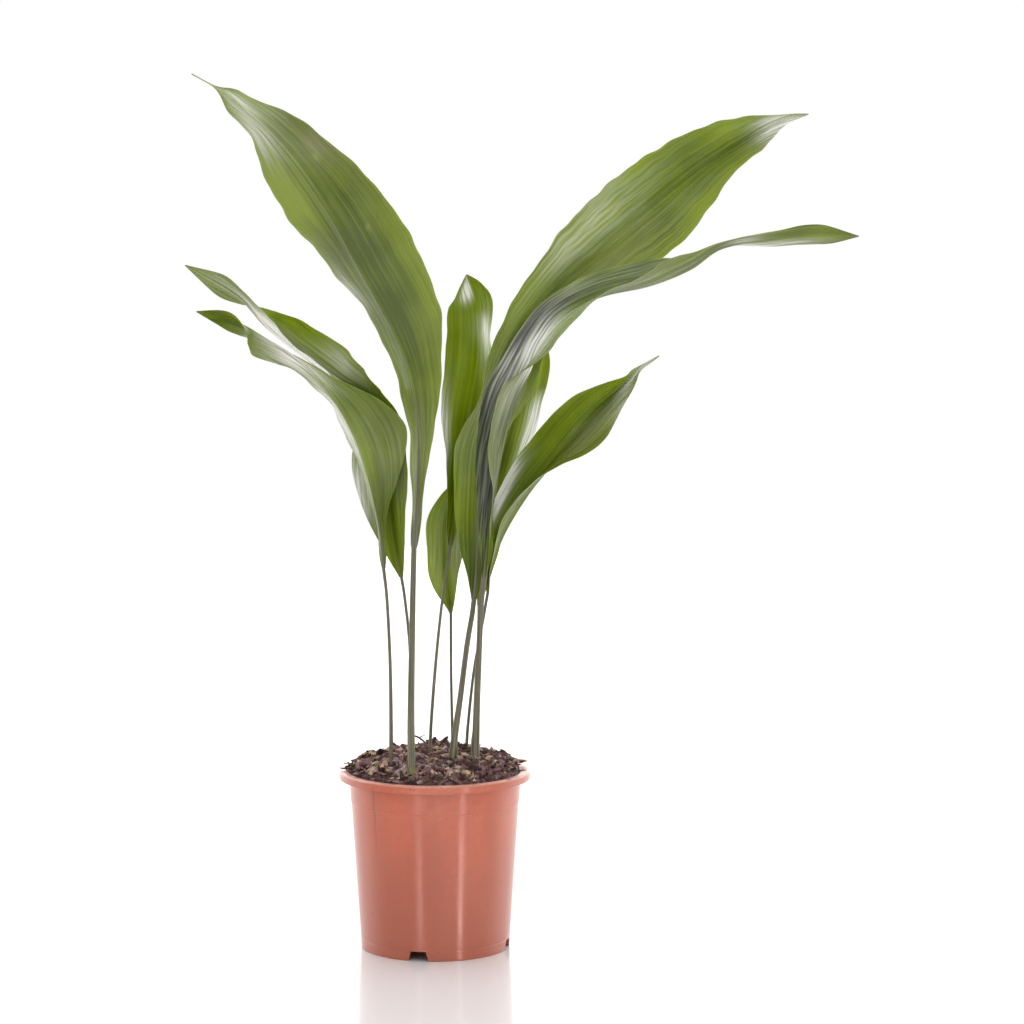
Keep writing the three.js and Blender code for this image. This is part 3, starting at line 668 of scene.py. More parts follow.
@dataclass(frozen=True)
class Blade:
    """A leaf's blade: a thin sheet with pleats along its veins, a ridged midrib and a wavy margin.

    Edge waves are pairs of length and height, and bands are pairs of pleats across a half and their share
    of the height.
    """

    leaf: LeafData
    rib_tone: float = 0.25
    row_step: float = 3.5
    least_rows: int = 40
    rib_columns: tuple[float, ...] = (0.02, 0.045, 0.08)  # places across, close beside the midrib
    even_columns: tuple[float, float, int] = (0.12, 0.985, 21)  # first place, last place and number
    arch: float = 8.0  # degrees that each half bows across
    thickness: float = 0.5
    margin_thickness: float = 0.28
    wave_length: float = 62.0
    wave_height: float = 1.2
    ripple_length: float = 23.0
    ripple_height: float = 0.25
    edge_waves: tuple[tuple[float, float], ...] = ((37.0, 0.55), (23.5, 0.5))
    rib_height: float = 0.9
    rib_width: float = 1.4
    groove_depth: float = 0.3
    least_half_width: float = 0.35
    full_half_width: float = 25.0  # from which pleats and waves have their full height
    grain_half_width: float = 45.0  # at which the noise cells have their own width
    belly: float = 0.5  # that each half swells across
    side_swing: float = 1.3  # radians between the waves of the two margins
    tip_thinning: float = 0.65  # share that the midrib loses toward the tip
    bands: tuple[tuple[float, float], ...] = ((3.1, 0.5), (5.3, 0.45), (8.7, 0.3), (11.9, 0.2))
    pleat_drift: float = 0.9  # radians that the pleats wander along the blade
    # Painted glow of light shining through the blade, growing toward the margin
    margin_glow: float = 0.12
    tip_warmth: float = 0.08
    # Painted shade toward each blade's foot, deep among the other leaves
    foot_shade: float = 0.3
    tip_stain: float = 0.6
    # Share of the margin's painted glow at the very edge
    margin_share: float = 0.4
    rib_reach: float = 0.9  # from the midrib, where its own tone fades out

    def columns(self) -> np.ndarray:
        """Returns the places across one half, from near 0 at the midrib to 1 at the margin."""
        return np.concatenate([self.rib_columns, np.linspace(*self.even_columns), [1.0]])

    def half(self, side: int, line: CurvedLine, shares: np.ndarray) -> np.ndarray:
        """Shapes one half of the middle surface.

        Args:
            side: 1 for the half on the viewer's right, -1 for the other.
            line: The midrib, with half widths and lifts in its extra columns.
            shares: The share of the length at each row.

        Returns:
            Points by row, then by column from the midrib outward.
        """
        places = line.by_share(shares)
        stations = line.at(places)
        right, front = (d[:, None, :] for d in across(line.tangents(places)))
        along = (shares * line.length)[:, None]
        swing = self.leaf.phase + (self.side_swing if side < 0 else 0.0)
        wide = np.maximum(stations[:, 3], self.least_half_width)[:, None]
        wavy = self.leaf.waves * rounded(shares, 0.2, 0.4)[:, None] * np.minimum(
            1, wide / self.full_half_width)
        for wave_length, height in self.edge_waves:
            wide = wide + height * wavy * np.sin(FULL_TURN * along / wave_length + 3 * swing)
        lift = np.radians(stations[:, 4 if side > 0 else 5])[:, None]
        u = self.columns()[None, :]
        bow = math.radians(self.arch) * self.leaf.facing.value
        start = lift + bow
        angle = lift + bow * (1 - 2 * u)
        sideways = (np.sin(start) - np.sin(angle)) / (2 * bow) * wide
        forward = (np.cos(angle) - np.cos(start)) / (2 * bow) * wide
        outward = side * sideways[..., None] * right + forward[..., None] * front
        normal = -side * np.sin(angle)[..., None] * right + np.cos(angle)[..., None] * front
        fullness = np.minimum(1, wide / self.full_half_width)
        wave = self.wave_height * fullness * np.sin(FULL_TURN * along / self.wave_length + swing) * u**2
        ripple = self.ripple_height * fullness * u**4 * np.sin(
            FULL_TURN * along / self.ripple_length + 2 * swing)
        raise_by = self.belly * fullness * np.sin(FULL_TURN * u) + wave + ripple
        raise_by = raise_by + self.pleats(u, shares[:, None], side) * fullness
        return stations[:, None, :3] + outward + normal * raise_by[..., None]

    def pleats(self, u: np.ndarray, share: np.ndarray, side: int) -> np.ndarray:
        """Returns the height of the uneven pleats along the veins, which fade at midrib and margin."""
        turn = self.leaf.phase * 2.7 + side
        drift = self.pleat_drift * np.sin(FULL_TURN * share + turn)
        fade = rounded(u, 0.02, 0.15) * (1 - rounded(u, 0.85, 1.0))
        height = 0.0
        for count, weight in self.bands:
            height = height + weight * np.cos(FULL_TURN * count * u + turn * count + drift)
        return self.leaf.pleats * fade * height

    def colouring(self, u: np.ndarray, shares: np.ndarray, wide: np.ndarray) -> tuple[Any, Any]:
        """Works out the colour shares at each point.

        Args:
            u: Places across, by column.
            shares: Shares of the length, by row.
            wide: Half widths, by row.

        Returns:
            The glow-and-tone share, which is the leaf's own tone and painted light shining through it, the
            painted shade and the stain shares, then the margin's painted glow, the painted glare and the
            wax shares, by row and column.
        """
        share, place = shares[:, None], u[None, :]
        flat = np.zeros((len(shares), len(u)))
        inner = np.exp(-((np.abs(place) * wide[:, None] / self.rib_reach) ** 2))
        glow_and_tone = self.leaf.glow_and_tone + self.margin_glow * np.abs(place) ** 3 + self.tip_warmth * share
        amounts = {
            "glow_and_tone": glow_and_tone + self.rib_tone * inner,
            "shade": flat + self.leaf.shade + self.foot_shade * (1 - rounded(share, 0.0, 0.16)),
            "stain": flat + self.tip_stain * rounded(share, 0.98, 1.0),
            # Painted glare, laid only by the blushes
            "painted_glare": flat,
            "wax": flat,
        }
        for blush in self.leaf.blushes:
            away_along = (share - blush.share) / blush.length
            away_across = (place - blush.across) / blush.width
            strength = np.exp(-(away_along**2 + away_across**2))
            for name in amounts:
                amounts[name] = amounts[name] + getattr(blush, name) * strength
        margin = flat + self.margin_share * rounded(np.abs(place), 0.97, 1.0)
        tint = [amounts["glow_and_tone"], np.clip(amounts["shade"], 0, 1), np.clip(amounts["stain"], 0, 1)]
        rim = [margin, np.clip(amounts["painted_glare"], 0, 1), np.clip(amounts["wax"], -0.4, 0.2)]
        return np.stack(tint, -1), np.stack(rim, -1)

    def build(self) -> None:
        """Makes the blade, with the waxy finish above and the dull one below, and mounts it."""
        line = CurvedLine(self.leaf.blade)
        count = max(self.least_rows, round(line.length / self.row_step))
        shares = np.linspace(0, 1, count + 1)
        columns = self.columns()
        left = self.half(-1, line, shares)[:, ::-1]
        right = self.half(1, line, shares)
        stations = line.at(line.by_share(shares))
        middle = np.concatenate([left, stations[:, None, :3], right], axis=1)
        u = np.concatenate([-columns[::-1], [0.0], columns])
        wide = np.maximum(stations[:, 3], self.least_half_width)
        normals = unit(np.cross(np.gradient(middle, axis=1), np.gradient(middle, axis=0)))
        distance = np.abs(u)[None, :] * wide[:, None]
        half_depth = (self.thickness + (self.margin_thickness - self.thickness) * np.abs(u) ** 2) / 2
        taper = (1 - self.tip_thinning * shares)[:, None]
        ridge = self.rib_height * taper * np.exp(-((distance / (self.rib_width * taper)) ** 2))
        groove = self.groove_depth * taper * np.exp(-((distance / self.rib_width) ** 2))
        above = half_depth[None, :] - groove
        below = half_depth[None, :] + ridge
        upward = self.leaf.facing.value
        layers = [middle + normals * (upward * above)[..., None],
                  middle - normals * (upward * below)[..., None]]
        if upward < 0:
            layers.reverse()
        layers = [np.clip(layer, CAD_LOW, CAD_HIGH) for layer in layers]
        along = shares * line.length * MM
        spread = u[None, :] * ((wide / self.grain_half_width) ** 0.75)[:, None]
        lamina = np.stack(np.broadcast_arrays(spread, along[:, None], self.leaf.seed), -1)
        tint, rim = self.colouring(u, shares, wide)
        values = {"lamina": lamina, "tint": tint, "rim": rim}
        builder = MeshBuilder()
        for layer in layers:
            builder.add_points(layer.reshape(-1, 3).tolist(),
                               **{name: rows.reshape(-1, 3).tolist() for name, rows in values.items()})
        self.add_skin(builder, count, len(u))
        piece = builder.build(f"{self.leaf.name}_blade_grown", (LEAF_UPPER, LEAF_UNDER))
        mount(piece, "leaf_blade", f"{self.leaf.name}_blade")

    def add_skin(self, builder: MeshBuilder, rows: int, wide_count: int) -> None:
        """Joins the front and back layers into one closed sheet.

        Args:
            builder: Holds the points of the front layer, then of the back layer.
            rows: The number of steps along the blade.
            wide_count: The number of points across it.
        """
        back = (rows + 1) * wide_count
        front_slot, back_slot = (0, 1) if self.leaf.facing is Facing.UPPER else (1, 0)
        front_faces, back_faces = [], []
        for k in range(rows):
            for i in range(wide_count - 1):
                a, b = k * wide_count + i, k * wide_count + i + 1
                c, d = b + wide_count, a + wide_count
                front_faces.append((a, b, c, d))
                back_faces.append((back + a, back + d, back + c, back + b))
        builder.add_faces(front_faces, front_slot)
        builder.add_faces(back_faces, back_slot)
        rim = []
        last = wide_count - 1
        for k in range(rows):
            a, d = k * wide_count, (k + 1) * wide_count
            rim.append((a, d, back + d, back + a))
            rim.append((a + last, back + a + last, back + d + last, d + last))
        end = rows * wide_count
        for i in range(last):
            rim.append((i, back + i, back + i + 1, i + 1))
            rim.append((end + i, end + i + 1, back + end + i + 1, back + end + i))
        builder.add_faces(rim, back_slot)


@dataclass(frozen=True)
class Stalk:
    """A leaf's stalk. It carries on up the underside of the blade and thins out into the midrib."""

    leaf: LeafData
    sides: int = 24
    row_step: float = 5.0
    foot_height: float = 140.0
    rib_share: float = 0.36  # of the blade's length that the stalk runs up
    groove: float = 0.14  # share of the radius, on the upper side
    ridges: int = 7
    ridge_height: float = 0.035
    groove_width: float = 0.45  # radians to each side
    least_radius: float = 0.25
    waist: float = 0.25  # share of the radius that it soon loses under the blade
    drop_share: float = 0.35  # of the radius, that its centre hangs below the blade
    drop: float = 0.2  # that its centre hangs below the blade besides

    def lower_line(self) -> CurvedLine:
        """Returns the centre line with its radius, from the foot in the compost to the blade."""
        first, second = np.array(self.leaf.stalk[0], float), np.array(self.leaf.stalk[1], float)
        down = (self.foot_height - first[2]) / (second[2] - first[2])
        foot = first + (second - first) * down
        foot[3] = first[3]
        top = (*self.leaf.blade[0][:3], self.leaf.stalk_top)
        return CurvedLine([foot, *self.leaf.stalk, top])

    def ribbing(self, turns: np.ndarray) -> np.ndarray:
        """Returns the share of the radius at each turn, with the ridges and the upper side's groove."""
        groove_turn = 0.0 if self.leaf.facing is Facing.UPPER else math.pi
        apart = np.abs((turns - groove_turn + math.pi) % FULL_TURN - math.pi)
        return 1 + self.ridge_height * np.cos(self.ridges * turns) - self.groove * np.exp(
            -((apart / self.groove_width) ** 2))

    def build(self) -> None:
        """Makes the stalk and mounts it."""
        lower = self.lower_line()
        low_places = lower.by_share(np.linspace(0, 1, round(lower.length / self.row_step) + 1))
        low_rows, low_tangents = lower.at(low_places), lower.tangents(low_places)
        upper = CurvedLine(self.leaf.blade)
        reach = upper.length * self.rib_share
        climbs = np.linspace(0, 1, round(reach / self.row_step) + 1)[1:]
        places = upper.by_share(climbs * self.rib_share)
        high_rows, high_tangents = upper.at(places), upper.tangents(places)
        radius = self.leaf.stalk_top * (1 - climbs) ** 0.8 * (1 - self.waist * rounded(climbs, 0, 0.2))
        _, front = across(high_tangents)
        drop = (self.drop_share * radius + self.drop) * rounded(climbs, 0, 0.25)
        high_centres = high_rows[:, :3] - front * (self.leaf.facing.value * drop)[:, None]
        centres = np.vstack([low_rows[:, :3], high_centres])
        tangents = np.vstack([low_tangents, high_tangents])
        radii = np.concatenate([low_rows[:, 3], np.maximum(radius, self.least_radius)])
        along = np.concatenate([[0], np.cumsum(np.linalg.norm(np.diff(centres, axis=0), axis=1))])
        right, front = across(tangents)
        turns = np.linspace(0, FULL_TURN, self.sides, endpoint=False)
        ribbing = self.ribbing(turns)[:, None]
        builder = MeshBuilder()
        for k, centre in enumerate(centres):
            ring = centre + radii[k] * ribbing * (
                np.cos(turns)[:, None] * front[k] + np.sin(turns)[:, None] * right[k])
            lamina = [(turn / math.pi, along[k] * MM, self.leaf.seed) for turn in turns - math.pi]
            builder.add_points(ring.tolist(), lamina=lamina)
        builder.add_rod(0, len(centres), self.sides)
        piece = builder.build(f"{self.leaf.name}_stalk_grown", (STALK,))
        mount(piece, "leaf_stalk", f"{self.leaf.name}_stalk")


@dataclass(frozen=True)
class Sheath:
    """A dry scale that hugs a stalk's foot, split down one side and pointed opposite the split."""

    leaf: LeafData
    wall: float = 0.6
    gap: float = 0.45
    half_arc: float = 160.0
    slope: float = 0.6
    arc_points: int = 33
    rows: int = 16
    flute_height: float = 0.12
    flutes: int = 11
    flare: float = 0.5  # that the split's edges stand off at the top
    top_thinning: float = 0.5  # share of the wall that is gone at the top
    grain_length: float = 0.05  # metres of the stalk's streaks over the whole scale

    def build(self) -> None:
        """Makes the scale and mounts it."""
        stalk = Stalk(self.leaf)
        line = stalk.lower_line()
        table = line.at(line.places)
        swings = np.linspace(-1, 1, self.arc_points)
        reach = 1 - self.slope * np.abs(swings) ** 0.8
        tops = stalk.foot_height + (self.leaf.sheath.top - stalk.foot_height) * reach
        turns = math.radians(self.leaf.sheath.opening) + math.pi + swings * math.radians(self.half_arc)
        builder = MeshBuilder()
        for k in range(self.rows + 1):
            share = k / self.rows
            heights = stalk.foot_height + (tops - stalk.foot_height) * share
            centre_x, centre_y, radius = (np.interp(heights, table[:, 2], table[:, i]) for i in (0, 1, 3))
            flare = self.flare * rounded(share, 0.6, 1.0) * np.abs(swings)
            fluting = self.flute_height * np.cos(swings * math.pi * self.flutes)
            inside = radius + self.gap + flare
            outside = inside + self.wall * (1 - self.top_thinning * share) + fluting
            walls = []
            for reach_out, order in ((outside, slice(None)), (inside, slice(None, None, -1))):
                x = centre_x + reach_out * np.cos(turns)
                y = centre_y + reach_out * np.sin(turns)
                walls.append(np.stack([x, y, heights], -1)[order])
            ring = np.vstack(walls)
            both = np.concatenate([swings, swings[::-1]])
            lamina = [(swing, share * self.grain_length, self.leaf.seed) for swing in both]
            builder.add_points(ring.tolist(), lamina=lamina)
        count = 2 * self.arc_points
        builder.add_faces(loft_faces(self.rows + 1, count, 0))
        for start, turned in ((0, True), (self.rows * count, False)):
            for i in range(self.arc_points - 1):
                quad = (start + i, start + i + 1, start + count - 2 - i, start + count - 1 - i)
                builder.add_faces([tuple(reversed(quad)) if turned else quad])
        piece = builder.build(f"{self.leaf.name}_sheath_dried", (SHEATH,), sharp_angle=50)
        mount(piece, "leaf_sheath", f"{self.leaf.name}_sheath")


@dataclass(frozen=True)
class Plant:
    """The aspidistra itself: its leaves, each a blade and a stalk, three with a sheath at the foot."""

    leaves: tuple[LeafData, ...]

    def build(self) -> None:
        """Makes every leaf."""
        for leaf in self.leaves:
            Stalk(leaf).build()
            if leaf.sheath is not None:
                Sheath(leaf).build()
            Blade(leaf).build()


# The pot


@dataclass(frozen=True)
class NurseryPot:
    """A thin-walled nursery pot with a flat rim, a turned-down skirt and drain notches at its foot."""

    foot_radius: float = 66.0
    neck_radius: float = 76.4
    neck_height: float = 152.0
    wall: float = 1.5
    floor_top: float = 11.0
    rim_height: float = 159.0
    segments: int = 256
    corner: float = 0.45
    corner_share: float = 0.42  # most that a corner takes of the shorter edge beside it
    row_height: float = 8.0
    rim_radius: float = 85.0
    lip_radius: float = 78.4  # where the rim's flat top starts
    flange_under: float = 156.8
    step_height: float = 131.0
    step_depth: float = 0.3
    foot_line: float = 9.5
    foot_line_depth: float = 0.5
    notch_angles: tuple[float, ...] = (-12.0, 78.0, 168.0, 258.0)
    notch_height: float = 8.6
    notch_bottom: float = 19.0
    notch_top: float = 13.5
    notch_reach: tuple[float, float] = (58.5, 70.0)
    hole: tuple[float, float, float] = (11.0, 9.0, 5.5)  # width, depth and height
    hole_middle: float = 10.25
    hole_margin: float = 4.0  # from the hole to the wall
    below_floor: float = -1.0  # where a notch's cutter starts
    weld_heights: tuple[float, float, float, float] = (88.0, 100.0, 138.0, 150.0)
    weld_depth: float = 0.3
    weld_width: float = 0.9  # degrees to each side

    def outside(self, height: float) -> float:
        """Returns the wall's outer radius at a height."""
        return self.foot_radius + (self.neck_radius - self.foot_radius) * height / self.neck_height

    def inside(self, height: float) -> float:
        """Returns the wall's inner radius at a height."""
        return self.outside(height) - self.wall

    def profile(self) -> np.ndarray:
        """Returns the wall's closed outline as radius and height, from the middle of the underside."""
        out, ins = self.outside, self.inside
        foot, line, step, floor = self.foot_radius, self.foot_line, self.step_height, self.floor_top
        rim, lip, top, under = self.rim_radius, self.lip_radius, self.rim_height, self.flange_under
        return np.array([
            (0, 0), (10, 0), (20, line), (foot - 3.5, line), (foot - 2, 0), (foot, 0),
            (out(line - 0.8), line - 0.8), (out(line) - self.foot_line_depth, line),
            (out(line + 0.8), line + 0.8),
            (out(step) - self.step_depth, step), (out(step) + self.step_depth, step + 0.7),
            (self.neck_radius, under), (rim - 1.7, under), (rim - 1.5, self.neck_height),
            (rim - 0.2, self.neck_height), (rim, self.neck_height + 0.8), (rim, top - 1.6),
            (rim - 0.8, top - 0.4), (rim - 2.4, top),
            (lip, top), (lip - 1.8, top - 0.6), (lip - 3, top - 2), (ins(150), 150),
            (ins(floor + 1.4), floor + 1.4), (ins(floor) - 1.4, floor),
            (21.2, floor), (10.9, self.wall), (0, self.wall),
        ], float)

    def softened(self) -> np.ndarray:
        """Returns the outline with every corner rounded, and with rows up the tall walls."""
        corners = self.profile()
        rows = [corners[0]]
        for before, here, after in zip(corners[:-2], corners[1:-1], corners[2:]):
            ends = []
            for other in (before, after):
                span = other - here
                length = float(np.linalg.norm(span))
                ends.append(here + span * min(self.corner, self.corner_share * length) / length)
            for t in (0.0, 0.25, 0.5, 0.75, 1.0):
                rows.append((1 - t) ** 2 * ends[0] + 2 * t * (1 - t) * here + t**2 * ends[1])
        rows.append(corners[-1])
        filled = [rows[0]]
        for before, after in zip(rows[:-1], rows[1:]):
            steps = max(1, round(float(np.linalg.norm(after - before)) / self.row_height))
            filled.extend(before + (after - before) * i / steps for i in range(1, steps + 1))
        return np.array(filled)

    def weld_line(self, turn: np.ndarray, height: float) -> np.ndarray:
        """Returns the depth of the faint upright line where the plastic's two flows met in the mould."""
        start, full, waning, end = self.weld_heights
        fade = rounded(height, start, full) * (1 - rounded(height, waning, end))
        apart = (turn - math.radians(POT_PLASTIC.seam_turn) + math.pi) % FULL_TURN - math.pi
        return self.weld_depth * fade * np.exp(-((apart / math.radians(self.weld_width)) ** 2))

    def shell(self) -> MeshBuilder:
        """Returns the lathed shell before its notches are cut."""
        outline = self.softened()
        turns = np.linspace(0, FULL_TURN, self.segments, endpoint=False)
        builder = MeshBuilder()
        builder.add_points([(0, 0, outline[0][1])])
        for radius, height in outline[1:-1]:
            reach = radius - self.weld_line(turns, height) * (radius > self.foot_radius)
            ring = (reach * np.sin(turns), -reach * np.cos(turns), np.full_like(turns, height))
            builder.add_points(np.stack(ring, -1).tolist())
        builder.add_points([(0, 0, outline[-1][1])])
        builder.add_faces(spun_faces(len(outline) - 2, self.segments))
        return builder

    def add_block(self, builder: MeshBuilder, angle: float, reaches: tuple[float, float],
                  heights: tuple[float, float], widths: tuple[float, float]) -> None:
        """Adds one tapered block that cuts through the wall.

        Args:
            builder: Takes the block.
            angle: The block's direction, in degrees from the front toward the right.
            reaches: Its inner and outer distance from the axis.
            heights: Its bottom and top.
            widths: Its width at the bottom and at the top.
        """
        out = np.array([math.sin(math.radians(angle)), -math.cos(math.radians(angle))])
        side = np.array([-out[1], out[0]])
        inner, outer = reaches
        corners = []
        for height, width in zip(heights, widths):
            for reach, swing in ((inner, -1), (outer, -1), (outer, 1), (inner, 1)):
                x, y = out * reach + side * (swing * width / 2)
                corners.append((x, y, height))
        builder.add_rod(builder.add_points(corners), 2, 4)

    def cutters(self) -> MeshBuilder:
        """Returns the tapered notches in the foot ring and the drain holes behind them, as one mesh."""
        builder = MeshBuilder()
        wide, deep, tall = self.hole
        outer = self.inside(self.floor_top) - self.hole_margin
        for angle in self.notch_angles:
            self.add_block(builder, angle, self.notch_reach, (self.below_floor, self.notch_height),
                           (self.notch_bottom, self.notch_top))
            self.add_block(builder, angle, (outer - deep, outer),
                           (self.hole_middle - tall / 2, self.hole_middle + tall / 2), (wide, wide))
        return builder

    def build(self) -> None:
        """Makes the pot, cuts its notches and mounts it."""
        piece = self.shell().build("nursery_pot_moulded", (POT_PLASTIC,))
        tool = self.cutters().build("notch_cutter", (POT_PLASTIC,))
        modifier = piece.modifiers.new("notches", "BOOLEAN")
        modifier.operation = "DIFFERENCE"
        modifier.solver = "EXACT"
        modifier.object = tool
        graph = bpy.context.evaluated_depsgraph_get()
        cut = bpy.data.meshes.new_from_object(piece.evaluated_get(graph), depsgraph=graph)
        piece.modifiers.clear()
        piece.data = cut
        bpy.data.objects.remove(tool)
        cut.shade_smooth()
        cut.set_sharp_from_angle(angle=math.radians(35))
        mount(piece, "pot_plastic", "pot")


# The compost


class BarkTone(Enum):
    """Colours that the bark's pieces have, each with its share."""

    EARTH = ("#33241f", 11)
    UMBER = ("#5a403a", 13)
    PLUM = ("#7b5b5d", 12)
    GREY = ("#a08a85", 8)
    TAN = ("#c4a888", 5)
    MOSS = ("#6c603a", 1)

    @property
    def colour(self) -> Colour:
        """The tone in linear light."""
        return linear(self.value[0])

    @property
    def weight(self) -> int:
        """How common the tone is."""
        return self.value[1]


@dataclass(frozen=True)
class Strewing:
    """How one kind of shard falls: ranges of width and depth as shares of the length, slant and lift."""

    widths: tuple[float, float]
    depths: tuple[float, float]
    slant: float  # spread in radians
    lifts: tuple[float, float]


@dataclass(frozen=True)
class BarkCompost:
    """Heaped bark compost: a lumpy bed, loose shards of bark on it and fine root fibres between them.

    The heap is a place, a height and a radius.
    """

    pot: NurseryPot
    edge_height: float = 161.0
    crown_height: float = 170.5
    heap: tuple[float, float, float, float] = (-4.0, 28.0, 6.0, 15.0)
    segments: int = 160
    rings: int = 46
    shards: int = 2100
    edge_shards: int = 420
    rim_shards: int = 60
    fibres: int = 110
    seed: int = 71
    loose: Strewing = Strewing((0.35, 0.75), (0.22, 0.5), 0.45, (-0.3, 2.4))
    at_edge: Strewing = Strewing((0.4, 0.8), (0.25, 0.5), 0.4, (0.0, 1.8))
    lengths: tuple[float, ...] = (3, 4, 5, 6, 8, 11)
    rough: tuple[float, float] = (-1.1, 0.7)  # of the bed, beside its mean height
    sink: float = 0.6  # of the bed, so that the shards stand on it
    middle_reach: float = -3.0  # of the loose shards, from the bed's edge
    edge_reach: tuple[float, float] = (-16.0, -1.5)  # of the edge's shards, likewise
    rim_reach: tuple[float, float] = (-3.0, 6.5)  # of the rim's shards, likewise
    left_share: float = 0.45  # of the rim's shards that lie at its left
    left_turns: tuple[float, float] = (-38.0, 30.0)  # degrees round it from the left, where they lie
    rim_gap: float = 0.35
    edge_gap: float = 0.3
    wall_gap: float = 0.4
    floor_corner: float = 1.6  # that the bed keeps clear of, where wall and floor meet
    lump_heights: tuple[float, float] = (1.3, 0.9)
    fibre_hexes: tuple[str, ...] = ("#a48b6c", "#7d6350", "#b7a184", "#5f4238", "#6d5648")

    def edge(self) -> float:
        """Returns the bed's outer radius."""
        return self.pot.inside(self.pot.rim_height) - self.edge_gap

    def height(self, x: float, y: float) -> float:
        """Returns the bed's mean height at a place."""
        reach = min(1.0, math.hypot(x, y) / self.pot.inside(self.pot.rim_height))
        heap_x, heap_y, heap_height, heap_radius = self.heap
        heaped = heap_height * math.exp(-((math.hypot(x - heap_x, y - heap_y) / heap_radius) ** 2))
        round_lump, long_lump = self.lump_heights
        lumps = round_lump * math.sin(x / 8 + 1) * math.cos(y / 10) + long_lump * math.sin((x + 2 * y) / 9)
        mean = self.crown_height + (self.edge_height - self.crown_height) * reach**5
        return mean + heaped + lumps * (1 - reach**4)

    def bed(self, source: random.Random) -> None:
        """Makes the lumpy bed that fills the pot."""
        earth = BarkTone.EARTH.colour[:3]
        builder = MeshBuilder()
        builder.add_points([(0, 0, self.height(0, 0))], tint=[earth])
        turns = [FULL_TURN * i / self.segments for i in range(self.segments)]
        for k in range(1, self.rings + 1):
            reach = self.edge() * (k / self.rings) ** 0.9
            for turn in turns:
                x, y = around(reach, turn)
                rough = source.uniform(*self.rough) * (1 - 0.6 * (k / self.rings) ** 8)
                tone = source.choices(TONES[:3], TONE_WEIGHTS[:3])[0].colour[:3]
                builder.add_points([(x, y, self.height(x, y) + rough - self.sink)], tint=[tone])
        base = self.pot.floor_top + self.wall_gap
        wall_heights = (150.0, 110.0, 60.0, base)
        for height in wall_heights:
            corner = self.floor_corner if height == base else 0.0
            reach = self.pot.inside(height) - self.wall_gap - corner
            builder.add_points([(*around(reach, turn), height) for turn in turns],
                               tint=[earth] * self.segments)
        builder.add_points([(0, 0, base)], tint=[earth])
        faces = spun_faces(self.rings + len(wall_heights), self.segments)
        builder.add_faces([tuple(reversed(face)) for face in faces])
        mount(builder.build("bark_compost_bed", (BARK,)), "bark_compost", "bark_compost")

    def add_shard(self, builder: MeshBuilder, source: random.Random, centre: Point, size: Point,
                  turn: Point, tone: Colour) -> None:
        """Adds one split shard of bark.

        Args:
            builder: Takes the shard.
            source: Seeded random numbers.
            centre: The shard's middle, in millimetres.
            size: Its length, width and thickness.
            turn: Its turns about its own axes, in radians.
            tone: Its colour.
        """
        sides, rings = 6, 5
        ends = (0, rings - 1)
        about_x, about_y, about_z = (Matrix.Rotation(angle, 3, axis) for angle, axis in zip(turn, "XYZ"))
        spin = about_z @ about_y @ about_x
        bend = source.uniform(-0.12, 0.12)
        first = len(builder.points)
        for k in range(rings):
            t = k / (rings - 1)
            taper = (1 - abs(2 * t - 1) ** 3 * source.uniform(0.35, 0.75)) * source.uniform(0.85, 1.1)
            for i in range(sides):
                angle = FULL_TURN * i / sides
                jag = source.uniform(0.78, 1.15)
                local = Vector((
                    (t - 0.5) * size[0] + (source.uniform(-0.12, 0.12) * size[0] if k in ends else 0),
                    math.cos(angle) * size[1] / 2 * taper * jag,
                    math.sin(angle) * size[2] / 2 * taper * jag + bend * size[0] * (2 * t - 1) ** 2,
                ))
                point = spin @ local + Vector(centre)
                shift = source.uniform(0.65, 1.3)
                builder.add_points([tuple(point)], tint=[tuple(c * shift for c in tone[:3])])
        builder.add_rod(first, rings, sides)

    def strew(self, builder: MeshBuilder, source: random.Random, place: Point, kind: Strewing) -> None:
        """Drops one shard on the bed.

        Args:
            builder: Takes the shard.
            source: Seeded random numbers.
            place: Its distance from the axis, its turn round it, and the shard's length.
            kind: How such a shard falls.
        """
        reach, turn, length = place
        x, y = around(reach, turn)
        size = (length, length * source.uniform(*kind.widths), length * source.uniform(*kind.depths))
        tone = source.choices(TONES, TONE_WEIGHTS)[0].colour
        tilt = (source.uniform(-0.9, 0.9), source.gauss(0, kind.slant), source.uniform(0, FULL_TURN))
        centre = (x, y, self.height(x, y) + source.uniform(*kind.lifts))
        self.add_shard(builder, source, centre, size, tilt, tone)

    def bark(self, source: random.Random) -> None:
        """Makes the loose shards, the ones on the rim too."""
        builder = MeshBuilder()
        edge = self.edge()
        for _ in range(self.shards):
            reach = (edge + self.middle_reach) * math.sqrt(source.random())
            turn = source.uniform(0, FULL_TURN)
            length = source.choice(self.lengths) * source.uniform(0.8, 1.2)
            self.strew(builder, source, (reach, turn, length), self.loose)
        low, high = self.edge_reach
        for _ in range(self.edge_shards):
            reach, turn = source.uniform(edge + low, edge + high), source.uniform(0, FULL_TURN)
            self.strew(builder, source, (reach, turn, source.uniform(2.5, 6)), self.at_edge)
        low, high = self.rim_reach
        for _ in range(self.rim_shards):
            turn = source.uniform(0, FULL_TURN)
            if source.random() < self.left_share:
                turn = math.radians(180 + source.uniform(*self.left_turns))
            x, y = around(source.uniform(edge + low, edge + high), turn)
            length = source.uniform(4, 11)
            size = (length, length * source.uniform(0.3, 0.5), source.uniform(0.9, 2.2))
            tone = source.choices(TONES, TONE_WEIGHTS)[0].colour
            tilt = (source.uniform(-0.4, 0.4), source.gauss(0, 0.16), turn + source.gauss(0, 0.7))
            z = max(self.pot.rim_height + 0.5 * size[2] + self.rim_gap,
                    self.edge_height + source.uniform(-0.5, 2.5))
            self.add_shard(builder, source, (x, y, z), size, tilt, tone)
        for centre, size, tilt, tone in NOTED_SHARDS:
            self.add_shard(builder, source, centre, size, tilt, linear(tone))
        mount(builder.build("bark_shards_loose", (BARK,), sharp_angle=28), "bark_compost", "bark_compost")

